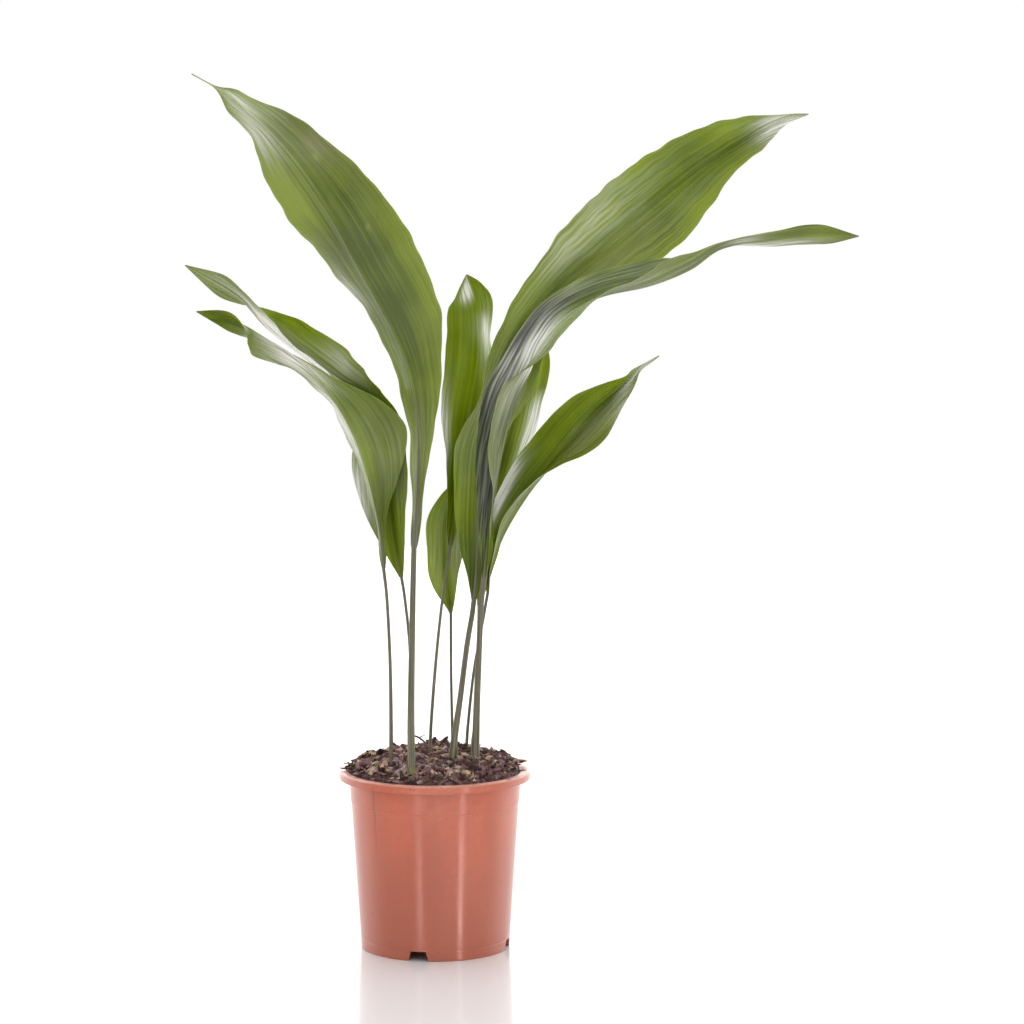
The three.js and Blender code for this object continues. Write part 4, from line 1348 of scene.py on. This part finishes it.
    def add_fibre(self, builder: MeshBuilder, line: CurvedLine, radius: float, tone: Colour) -> None:
        """Adds one thin fibre or twig along a line.

        Args:
            builder: Takes the fibre.
            line: Its centre line, in millimetres.
            radius: Its radius at the middle.
            tone: Its colour.
        """
        sides, steps = 5, 12
        places = line.by_share(np.linspace(0, 1, steps + 1))
        centres, tangents = line.at(places)[:, :3], line.tangents(places)
        side = unit(np.cross(tangents, np.array([0.13, 0.21, 1.0])))
        over = np.cross(side, tangents)
        first = len(builder.points)
        for k, centre in enumerate(centres):
            thick = radius * (1 - 0.75 * abs(2 * k / steps - 1) ** 3)
            for i in range(sides):
                angle = FULL_TURN * i / sides
                point = centre + thick * (math.cos(angle) * side[k] - math.sin(angle) * over[k])
                builder.add_points([tuple(point)], tint=[tone[:3]])
        builder.add_rod(first, steps + 1, sides)

    def roots(self, source: random.Random) -> None:
        """Makes the fine pale fibres and the twigs between the shards."""
        builder = MeshBuilder()
        for _ in range(self.fibres):
            reach = (self.edge() - 8) * math.sqrt(source.random())
            turn, heading = source.uniform(0, FULL_TURN), source.uniform(0, FULL_TURN)
            x, y = around(reach, turn)
            length = source.uniform(6, 16)
            stations = []
            for k in range(5):
                share = k / 4 - 0.5
                px = x + math.cos(heading) * length * share + source.uniform(-1.3, 1.3)
                py = y + math.sin(heading) * length * share + source.uniform(-1.3, 1.3)
                inward = min(1.0, (self.edge() - 2) / max(1e-6, math.hypot(px, py)))
                px, py = px * inward, py * inward
                stations.append((px, py, self.height(px, py) + source.uniform(0.6, 3.2)))
            tone = linear(source.choice(self.fibre_hexes))
            self.add_fibre(builder, CurvedLine(stations), source.uniform(0.22, 0.55), tone)
        for stations, radius, tone in NOTED_TWIGS:
            self.add_fibre(builder, CurvedLine(stations), radius, linear(tone))
        mount(builder.build("bark_root_fibres", (BARK,)), "bark_compost", "bark_compost")

    def build(self) -> None:
        """Makes the bed, the shards and the fibres."""
        source = random.Random(self.seed)
        self.bed(source)
        self.bark(source)
        self.roots(source)


# The studio


class Light(Enum):
    """What a lamp adds to the surfaces that it reaches."""

    ALL = "all"
    GLOSS = "gloss"
    MATT = "matt"


@dataclass(frozen=True)
class Softbox:
    """A soft lamp of given width and height in metres, set round the plant and aimed at it."""

    name: str
    bearing: float  # degrees from the camera's side toward the viewer's right
    elevation: float  # degrees above its target
    distance: float  # metres from its target
    size: tuple[float, float]
    power: float
    target: Point = (0.0, 0.0, 0.35)
    spread: float = 180.0  # degrees that its grid lets through
    light: Light = Light.ALL

    def build(self) -> None:
        """Hangs the lamp."""
        lamp = bpy.data.lights.new(self.name, "AREA")
        lamp.shape = "RECTANGLE"
        lamp.size, lamp.size_y = self.size
        lamp.energy = self.power
        lamp.spread = math.radians(self.spread)
        holder = add_object(self.name, lamp)
        bearing, elevation = math.radians(self.bearing), math.radians(self.elevation)
        target = Vector(self.target)
        holder.location = target + self.distance * Vector((
            math.sin(bearing) * math.cos(elevation), -math.cos(bearing) * math.cos(elevation),
            math.sin(elevation)))
        holder.rotation_euler = (holder.location - target).to_track_quat("Z", "Y").to_euler()
        holder.visible_camera = False
        holder.visible_diffuse = self.light is not Light.GLOSS
        holder.visible_glossy = self.light is not Light.MATT


@dataclass(frozen=True)
class Studio:
    """A white sweep with soft lamps, and a camera a little above the leaves' middle."""

    softboxes: tuple[Softbox, ...]
    camera_place: Point = (0.0685, -3.1, 0.730)
    camera_tilt: float = 83.73
    lens: float = 124.14
    sensor: float = 36.0
    floor_reach: float = 3.0  # metres to each side
    floor_height: float = -0.2  # millimetres, so that the pot's foot doesn't share its plane
    front_light: float = 0.3
    back_light: float = 2.4
    top_light: float = 0.9

    def world(self) -> None:
        """Lights the sweep: brightest behind the plant, white above it, and dim from the camera's side."""
        world = bpy.data.worlds.new("white_sweep")
        world.use_nodes = True
        tree = world.node_tree
        tree.nodes.clear()
        place = add_node(tree, "ShaderNodeTexCoord")
        direction = add_node(tree, "ShaderNodeSeparateXYZ", {0: place.outputs["Generated"]})
        behind = add_node(tree, "ShaderNodeMapRange", {
            "Value": direction.outputs[1], "From Min": -0.3, "From Max": 0.45,
            "To Min": self.front_light, "To Max": self.back_light}, interpolation_type="SMOOTHSTEP")
        above = add_node(tree, "ShaderNodeMapRange", {
            "Value": direction.outputs[2], "From Min": 0.45, "From Max": 0.7},
            interpolation_type="SMOOTHSTEP")
        amount = add_node(tree, "ShaderNodeMix", {
            0: above.outputs[0], 2: behind.outputs[0], 3: self.top_light})
        path = add_node(tree, "ShaderNodeLightPath")
        seen = add_node(tree, "ShaderNodeMix", {
            0: path.outputs["Is Camera Ray"], 2: amount.outputs[0], 3: 1.0})
        light = add_node(tree, "ShaderNodeBackground", {"Color": (1, 1, 1, 1), "Strength": seen.outputs[0]})
        add_node(tree, "ShaderNodeOutputWorld", {"Surface": light.outputs[0]})
        bpy.context.scene.world = world

    def floor(self) -> None:
        """Lays the pale floor."""
        reach = self.floor_reach / MM
        builder = MeshBuilder()
        builder.add_points([(x * reach, y * reach, self.floor_height)
                            for x, y in ((-1, -1), (1, -1), (1, 1), (-1, 1))])
        builder.add_faces([(0, 1, 2, 3)])
        builder.build("studio_floor", (FLOOR_SHEET,))

    def camera(self) -> None:
        """Sets the camera at the photograph's angle."""
        camera = bpy.data.cameras.new("studio_camera")
        camera.lens = self.lens
        camera.sensor_width = self.sensor
        camera.sensor_height = self.sensor
        camera.sensor_fit = "HORIZONTAL"
        camera.clip_end = 100
        holder = add_object("studio_camera", camera)
        holder.location = self.camera_place
        holder.rotation_euler = (math.radians(self.camera_tilt), 0, 0)
        bpy.context.scene.camera = holder

    def build(self) -> None:
        """Sets up the world, the floor, the lamps and the camera."""
        self.world()
        self.floor()
        for softbox in self.softboxes:
            softbox.build()
        self.camera()
        bpy.context.scene.view_settings.view_transform = "Standard"
        bpy.context.scene.view_settings.look = "None"


# The data

# Millimetres that the leaves keep inside the CAD model's box
BOX_MARGIN = 0.05
CAD_LOW = np.array(CAD_BOX[0]) / MM + BOX_MARGIN
CAD_HIGH = np.array(CAD_BOX[1]) / MM - BOX_MARGIN

TONES = list(BarkTone)
TONE_WEIGHTS = [tone.weight for tone in TONES]

# Shards that stand out, as centre, size, turns and colour.
NOTED_SHARDS = (
    ((-31, -24, 172.5), (10, 4.5, 1.8), (0.2, -0.1, 0.5), "#8c2a2c"),
    ((3, 24, 178), (8, 5, 2.5), (0.3, 0.9, 0.2), "#a58b78"),
    ((-3, 28, 178.5), (10, 5, 3), (0.5, -1.1, 0.3), "#4d3739"),
    ((1, 29, 180), (8, 4, 2.5), (0.2, 0.8, 0.6), "#5d4648"),
    ((7, 28, 179.5), (10, 5, 3), (0.4, -0.7, 0.2), "#44302f"),
    ((11, 27, 177.5), (9, 5, 3), (0.1, 1.0, -0.3), "#604a49"),
    ((5, 27, 176), (9, 6, 3), (0.8, 0.2, 1.2), "#3c2b2b"),
)

# Twigs that stand out, as stations, radius and colour.
NOTED_TWIGS = (
    (((-25, 29, 185.5), (-17.6, 29, 183.6), (-13, 29, 181), (-9, 29, 177), (-7, 29, 172)), 0.9, "#5a423c"),
    (((-15, 29, 182.5), (-12, 28, 184), (-9, 28, 184.5)), 0.5, "#6b5148"),
)

LEAVES = (
    LeafData(
        name="leaf_left_tall", facing=Facing.UNDER, phase=0.4, stalk_top=2.4,
        sheath=SheathData(top=188, opening=-55), waves=0.6,
        stalk=(
            (-18.6, -62.5, 160, 3.4), (-19.4, -64.5, 197, 3.3), (-19.2, -67, 233, 3),
            (-18.1, -70.5, 286, 2.7), (-17.1, -74, 330, 2.5),
        ),
        blade=(
            (-16, -78, 367, 3, -30, -30), (-13, -80, 404, 9, -60, -60), (-12, -83, 440, 16, -60, -62),
            (-12, -87, 470, 22, -47, -66), (-18, -94, 517, 35, -38, -66), (-33, -103, 556, 45.7, -10, -72),
            (-61, -118, 609, 52.6, -10, -63), (-81, -130, 648, 49, -21, -49),
            (-106, -143, 688, 44, -40, -45), (-131, -155, 720, 34, -50, -61),
            (-156, -164, 745, 20, -62, -58), (-174, -170, 759, 2.2, -40, -40),
            (-195, -175, 771, 0.5, -20, -20),
        ),
        blushes=(
            Blush(0.7, -0.75, 0.1, 0.45, glow_and_tone=0.7), Blush(0.5, 0.85, 0.14, 0.25, glow_and_tone=0.5),
            Blush(0.5, 0.1, 0.24, 0.55, glow_and_tone=-0.5, shade=0.04), Blush(0.76, 0.8, 0.05, 0.3, stain=0.3),
            Blush(0.93, 0.05, 0.07, 0.5, painted_glare=0.55), Blush(0.27, 0, 0.15, 2, glow_and_tone=0.2),
            Blush(0.17, 0, 0.07, 1, glow_and_tone=0.15, painted_glare=0.08), Blush(0.835, -0.6, 0.05, 0.45, painted_glare=0.55),
            Blush(0.85, 0.8, 0.035, 0.3, painted_glare=0.12), Blush(0.745, 0.75, 0.025, 0.3, painted_glare=0.07),
            Blush(0.485, -0.9, 0.045, 0.2, painted_glare=0.45), Blush(0.56, -0.6, 0.07, 0.3, stain=0.12, glow_and_tone=-0.2),
            Blush(0.736, 0.53, 0.006, 0.05, glow_and_tone=0.7), Blush(0.904, -0.63, 0.007, 0.1, glow_and_tone=0.8),
            Blush(0.62, -0.4, 0.12, 0.35, wax=-0.35, glow_and_tone=0.15), Blush(0.59, 0.47, 0.005, 0.04, glow_and_tone=0.6),
        ),
    ),
    LeafData(
        name="leaf_right_tall", facing=Facing.UPPER, phase=1.9, stalk_top=2.3,
        sheath=SheathData(top=196, opening=-120), waves=0.9,
        stalk=(
            (14.6, -22, 164, 3.4), (18.1, -21, 194, 3), (22.6, -20, 225, 2.6), (28.8, -17, 273, 2.4),
            (33.2, -13, 299, 2.3),
        ),
        blade=(
            (35, -12, 313, 3, 40, 40), (36.8, -11, 335.6, 9.2, 20, 30), (37.2, -10, 364.8, 17.5, -35, 24),
            (37.7, -8, 409.8, 24.2, -52, 33), (39, -6, 444.9, 29.7, -46, 47),
            (44.8, -2, 488.7, 35.9, -22, 80), (65, 7, 537, 40, 36, 67), (104, 23, 581, 42, 50, 46),
            (147, 42, 616, 43, 40, 18), (194, 64, 654, 43.7, 31, 10), (240, 86, 690, 36.1, 55, 10),
            (283, 104, 718, 23, 55, 30), (311, 112, 733, 7, 30, 40), (337, 118, 739, 0.5, 20, 20),
        ),
        blushes=(
            Blush(0.6, 0, 0.5, 2, painted_glare=0.06), Blush(0.58, -0.65, 0.13, 0.4, glow_and_tone=0.6, painted_glare=0.25),
            Blush(0.57, -0.3, 0.1, 0.1, glow_and_tone=-0.35), Blush(0.87, -0.6, 0.05, 0.5, glow_and_tone=0.5),
            Blush(0.75, -0.4, 0.08, 0.5, glow_and_tone=-0.2), Blush(0.72, 0.85, 0.12, 0.25, glow_and_tone=0.35),
            Blush(0.6, 0.35, 0.08, 0.4, stain=0.2), Blush(0.955, 0.35, 0.042, 1, painted_glare=1.2),
            Blush(0.68, 0.6, 0.08, 0.35, shade=0.12), Blush(0.79, -0.6, 0.08, 0.4, painted_glare=-0.03),
            Blush(0.21, -0.55, 0.06, 0.3, glow_and_tone=0.12, painted_glare=0.03),
            Blush(0.43, -0.5, 0.05, 0.4, glow_and_tone=0.15, painted_glare=0.03),
            Blush(0.3, 0, 0.07, 1, glow_and_tone=0.2, painted_glare=0.15), Blush(0.06, -0.5, 0.05, 1, glow_and_tone=-0.25),
        ),
    ),
    LeafData(
        name="leaf_right_twisted", facing=Facing.UPPER, phase=3.1, stalk_top=2.4,
        sheath=SheathData(top=199, opening=-40), glow_and_tone=-0.2, pleats=0.45,
        stalk=(
            (36.2, -22, 164, 3.4), (36.7, -22, 194, 3.3), (37.6, -23, 225, 3), (39.9, -24, 279, 2.6),
            (41.3, -25, 310, 2.5),
        ),
        blade=(
            (44, -27, 335, 3, 60, 60), (48.6, -32, 377, 9.5, 84.5, 8.6), (53.7, -38, 413, 16.9, 97, -10.2),
            (62.2, -46, 457.8, 26.5, 120.7, -17.7), (72.5, -53, 493, 31, 120.8, -27.2),
            (84, -58, 518.7, 30.5, 108.4, -31.5), (94.4, -63, 543.3, 31.3, 76.9, -50.2),
            (111, -69, 565, 33, 73, -52), (144, -78, 583, 29, 90, -48), (186, -86, 593, 25, 118, -28),
            (220, -92, 607, 17, 150, -55), (247, -96, 625, 6.5, 150, -90), (287, -102, 632, 8.5, 150, -128),
            (327, -108, 636, 10.5, 158, -135), (361, -114, 636, 0.5, 160, -160),
        ),
        blushes=(
            Blush(0.16, -0.5, 0.17, 0.75, shade=1, painted_glare=0.1, wax=0.12),
            Blush(0.34, -0.6, 0.09, 0.5, shade=0.8, wax=0.15), Blush(0.36, -0.7, 0.07, 0.5, painted_glare=0.34),
            Blush(0.06, -0.5, 0.05, 1, shade=-0.4), Blush(0.415, 0.05, 0.055, 0.4, painted_glare=0.85),
            Blush(0.4, -0.1, 0.03, 0.25, painted_glare=0.6),
            Blush(0.465, -0.6, 0.08, 0.5, shade=0.95, painted_glare=0.03, wax=0.1),
            Blush(0.58, -0.6, 0.06, 0.4, shade=0.3), Blush(0.19, 0.5, 0.06, 0.4, shade=0.17),
            Blush(0.28, 0.5, 0.12, 0.45, painted_glare=0.07), Blush(0.33, 0.5, 0.05, 0.4, painted_glare=0.2),
            Blush(0.68, 0, 0.12, 2, painted_glare=0.18), Blush(0.695, 0.6, 0.05, 0.5, painted_glare=-0.1),
            Blush(0.52, -0.75, 0.04, 0.35, shade=-0.3, painted_glare=0.08), Blush(0.81, 0, 0.03, 2, painted_glare=0.3),
            Blush(0.8, -0.9, 0.06, 0.6, painted_glare=0.7), Blush(0.95, 0.3, 0.06, 1, glow_and_tone=0.4),
            Blush(0.9, -0.6, 0.06, 0.4, painted_glare=0.4),
        ),
    ),
    LeafData(
        name="leaf_left_front", facing=Facing.UNDER, phase=0.9, stalk_top=1.5,
        stalk=(
            (-38.2, -30, 164, 1.9), (-38, -30, 208, 1.7), (-38.7, -30, 262, 1.5), (-41.1, -31, 315, 1.4),
        ),
        blade=(
            (-44, -31, 343, 2, -40, -40), (-46.9, -32, 375.7, 11.2, -63, -76),
            (-52.4, -34, 405.3, 25.3, -46, -79), (-58.5, -37, 430.3, 37.8, -22, -77),
            (-64.3, -40.5, 449.6, 45.7, -16, -77), (-70.2, -44, 464.6, 41.1, -21, -77),
            (-82.7, -54, 489.6, 26.8, -49, -71), (-102.3, -66, 517.1, 17.6, -85, -54),
            (-121.2, -78, 534.4, 18.7, -98, -34), (-138.1, -86, 545.7, 22.6, -109, -33),
            (-148.7, -91, 552.6, 14, -132, 8), (-158.3, -95, 558.8, 11, -155, 75),
            (-175, -100, 566, 8.5, -180, 140), (-199, -106, 572, 0.5, -180, 160),
        ),
        blushes=(
            Blush(0.42, -0.8, 0.16, 0.42, painted_glare=0.8), Blush(0.68, -0.2, 0.09, 0.7, painted_glare=0.7),
            Blush(0.33, 0.5, 0.15, 0.5, painted_glare=0.08), Blush(0.33, 0.4, 0.2, 0.6, glow_and_tone=0.3),
            Blush(0.78, 0.6, 0.06, 0.6, painted_glare=0.6), Blush(0.94, 0, 0.09, 1.5, shade=0.5),
            Blush(0.42, 0, 0.15, 0.3, wax=-0.3), Blush(0.2, 0.6, 0.1, 0.4, glow_and_tone=-0.25),
        ),
    ),
    LeafData(
        name="leaf_left_back", facing=Facing.UPPER, phase=2.4, stalk_top=1.4, glow_and_tone=0.1,
        stalk=(
            (-21.6, -25, 163, 1.8), (-20.6, -24, 207, 1.6), (-21.4, -20, 269, 1.4), (-25.8, -15, 313, 1.3),
        ),
        blade=(
            (-29, -12, 333, 2, 40, 30), (-33, -8, 357, 12, 55, 20), (-37, 0, 391, 25, 57, 5),
            (-39, 9, 426, 34, 64, 0), (-37, 19, 460, 36.1, 74, 41), (-50.1, 29, 481.6, 35.2, 69, 86),
            (-66.7, 35, 492.2, 34.3, 47, 96), (-86.6, 41, 501.5, 35.7, 34, 100),
            (-114, 49, 520, 31.9, 24, 100), (-136.3, 56, 536.2, 26.4, 18, 110),
            (-153.6, 61, 550.7, 17, 4, 121), (-164, 64, 562.6, 11, -50, 135), (-175, 67, 574, 9, -122, 148),
            (-193, 71, 586, 11, -150, 155), (-225, 76, 604, 0.5, -160, 160),
        ),
        blushes=(
            Blush(0.6, 0.6, 0.16, 0.5, glow_and_tone=0.4), Blush(0.525, 0.6, 0.08, 0.3, painted_glare=0.5, glow_and_tone=0.9),
            Blush(0.5, 0.6, 0.08, 0.5, glow_and_tone=0.5), Blush(0.45, 0.85, 0.08, 0.5, glow_and_tone=0.6),
            Blush(0.71, -0.25, 0.08, 0.3, painted_glare=1), Blush(0.66, -0.5, 0.16, 0.6, painted_glare=1.2),
            Blush(0.21, -0.92, 0.07, 0.3, painted_glare=0.85), Blush(0.24, 0.6, 0.07, 0.4, shade=0.3),
            Blush(0.93, 0, 0.08, 1, glow_and_tone=0.2, painted_glare=0.15),
        ),
    ),
    LeafData(
        name="leaf_middle_tall", facing=Facing.UPPER, phase=4.2, stalk_top=1.4,
        stalk=(
            (-4.6, 4, 165, 1.6), (-3.6, 4, 198, 1.5), (1, 3, 257, 1.4), (6.4, 3, 308, 1.3),
            (11.8, 4, 344, 1.3),
        ),
        blade=(
            (14, 5, 359, 2, 30, 30), (17, 8, 399, 12, 30, 62), (22, 12, 434, 19, 20, 50),
            (29.5, 18, 476.5, 25.5, -12, 18), (36.6, 26, 513.2, 28.5, -55, 8),
            (37.9, 33, 543.8, 27.8, -64, 10), (36.5, 39, 570.2, 25.2, -57, 14),
            (32, 43, 585.1, 13, -34, 22), (28, 45, 597, 0.5, 10, 10),
        ),
        blushes=(
            Blush(0.62, -0.5, 0.25, 0.5, glow_and_tone=0.3), Blush(0.945, -0.35, 0.04, 0.3, painted_glare=1.4),
            Blush(0.42, -0.97, 0.11, 0.24, painted_glare=1), Blush(0.8, 0.5, 0.06, 0.5, painted_glare=0.45),
            Blush(0.91, 0.5, 0.05, 0.5, glow_and_tone=-0.1, painted_glare=-0.3, wax=-0.35),
        ),
    ),
    LeafData(
        name="leaf_middle_short", facing=Facing.UPPER, phase=5.2, stalk_top=1.3, glow_and_tone=0.3,
        stalk=(
            (15.9, 4, 165, 1.5), (15.1, 6, 202, 1.3), (14.2, 11, 247, 1.2),
        ),
        blade=(
            (14, 19, 297, 1.8, 45, 45), (11, 21, 322, 14, 50, 19), (9, 24, 348, 20, 40, 40),
            (10, 28, 375, 21, 40, 31), (15, 33, 395, 15, 40, 40), (24, 39, 408, 8, 30, 40),
            (35, 44, 419, 0.5, 20, 20),
        ),
        blushes=(
            Blush(0.6, -0.6, 0.4, 0.5, glow_and_tone=0.8),
            Blush(0.6, 0.7, 0.3, 0.4, stain=0.15, painted_glare=0.4, glow_and_tone=0.2),
            Blush(0.5, -0.5, 0.4, 0.6, painted_glare=0.15),
        ),
    ),
    LeafData(
        name="leaf_right_low", facing=Facing.UPPER, phase=1.2, stalk_top=1.4, glow_and_tone=0.1,
        stalk=(
            (27.2, 30, 164, 1.5), (29, 29, 194, 1.4), (34.5, 25, 244, 1.3), (42.7, 17, 291, 1.3),
        ),
        blade=(
            (47, 13, 316, 1.9, 50, 50), (49, 13, 333, 5, 95, 30), (57, 14, 358, 14, 108, 10),
            (68, 16, 380, 21, 112, 5), (85, 20, 406, 26, 105, -12), (105, 25, 430, 29, 80, -10),
            (135, 34, 467, 26.2, 34, 10), (159, 41, 490, 17, 50, 39), (173, 46, 503, 9, 46, 55),
            (184, 50, 513, 3, 71, 0), (200, 54, 524, 0.5, 20, 0),
        ),
        blushes=(
            Blush(0.5, -0.6, 0.28, 0.5, glow_and_tone=0.1), Blush(0.3, -0.92, 0.1, 0.25, painted_glare=2.2),
            Blush(0.78, 0, 0.14, 1, glow_and_tone=-0.25), Blush(0.3, 0.6, 0.12, 0.4, shade=0.25),
            Blush(0.6, 0.5, 0.2, 0.4, stain=0.25, glow_and_tone=-0.2), Blush(0.66, 0.4, 0.12, 0.4, painted_glare=0.08),
            Blush(0.95, 0, 0.05, 1, painted_glare=0.9), Blush(0.88, 0.15, 0.06, 0.3, painted_glare=0.8),
            Blush(0.8, 0.85, 0.08, 0.4, painted_glare=0.35, stain=0.1),
        ),
    ),
    LeafData(
        name="leaf_right_back", facing=Facing.UPPER, phase=3.7, stalk_top=1.4, glow_and_tone=0.1,
        stalk=(
            (38.2, 2, 165, 1.6), (38.2, 3, 203, 1.5), (38.3, 6, 256, 1.4), (38.8, 13, 288, 1.4),
        ),
        blade=(
            (39, 18, 304, 1.9, 30, 30), (45, 26, 339, 8, -20, 20), (54, 35, 383, 17, -50, 12),
            (65, 46, 427, 25, -62, 10), (76, 57, 471, 27, -52, 12), (84, 67, 511, 24, -40, 20),
            (88, 75, 541, 14, -30, 30), (90, 81, 565, 0.5, 0, 0),
        ),
        blushes=(
            Blush(0.62, 0.8, 0.1, 0.38, painted_glare=1.3), Blush(0.83, 0.5, 0.1, 0.6, painted_glare=-0.5, wax=-0.35),
            Blush(0.6, -0.2, 0.3, 0.45, shade=0.35, wax=-0.25), Blush(0.85, 0.4, 0.08, 0.8, glow_and_tone=0.4),
        ),
    ),
)

# Each lamp's name, bearing, elevation, distance, size and power, then its target, spread and light.
SOFTBOXES = (
    Softbox("strip_right", 38, 4, 2.4, (0.2, 1.3), 5),
    Softbox("wide_left", -23, 8, 2.6, (0.35, 1.2), 4),
    Softbox("pot_strip_right", 38, 3, 2.2, (0.25, 0.6), 0.037, (0.0, 0.0, 0.05), 18.0, Light.GLOSS),
    Softbox("pot_strip_left", -20, 3, 2.2, (0.28, 0.5), 0.025, (0.0, 0.0, 0.05), 18.0, Light.GLOSS),
    Softbox("foot_strip_right", 38, 0.9, 2.2, (0.22, 0.1), 0.014, (0.0, 0.0, 0.03), 3.0, Light.GLOSS),
    Softbox("foot_strip_left", -20, 0.9, 2.2, (0.22, 0.1), 0.005, (0.0, 0.0, 0.03), 3.0, Light.GLOSS),
    Softbox("pot_key", 2, 6, 2.6, (0.3, 0.1), 0.028, (0.0, 0.0, 0.125), 6.0, Light.MATT),
    Softbox("neck_key", 2, 6, 2.6, (0.3, 0.04), 0.027, (0.0, 0.0, 0.14), 3.0, Light.MATT),
    Softbox("front_fill", 8, 33, 3.4, (2.6, 1.8), 12),
)


def main() -> None:
    """Builds the plant, its pot and compost, and the studio round them."""
    logging.basicConfig(level=logging.INFO, format="%(message)s")
    pot = NurseryPot()
    pot.build()
    BarkCompost(pot).build()
    Plant(LEAVES).build()
    Studio(SOFTBOXES).build()


if __name__ == "__main__":
    main()
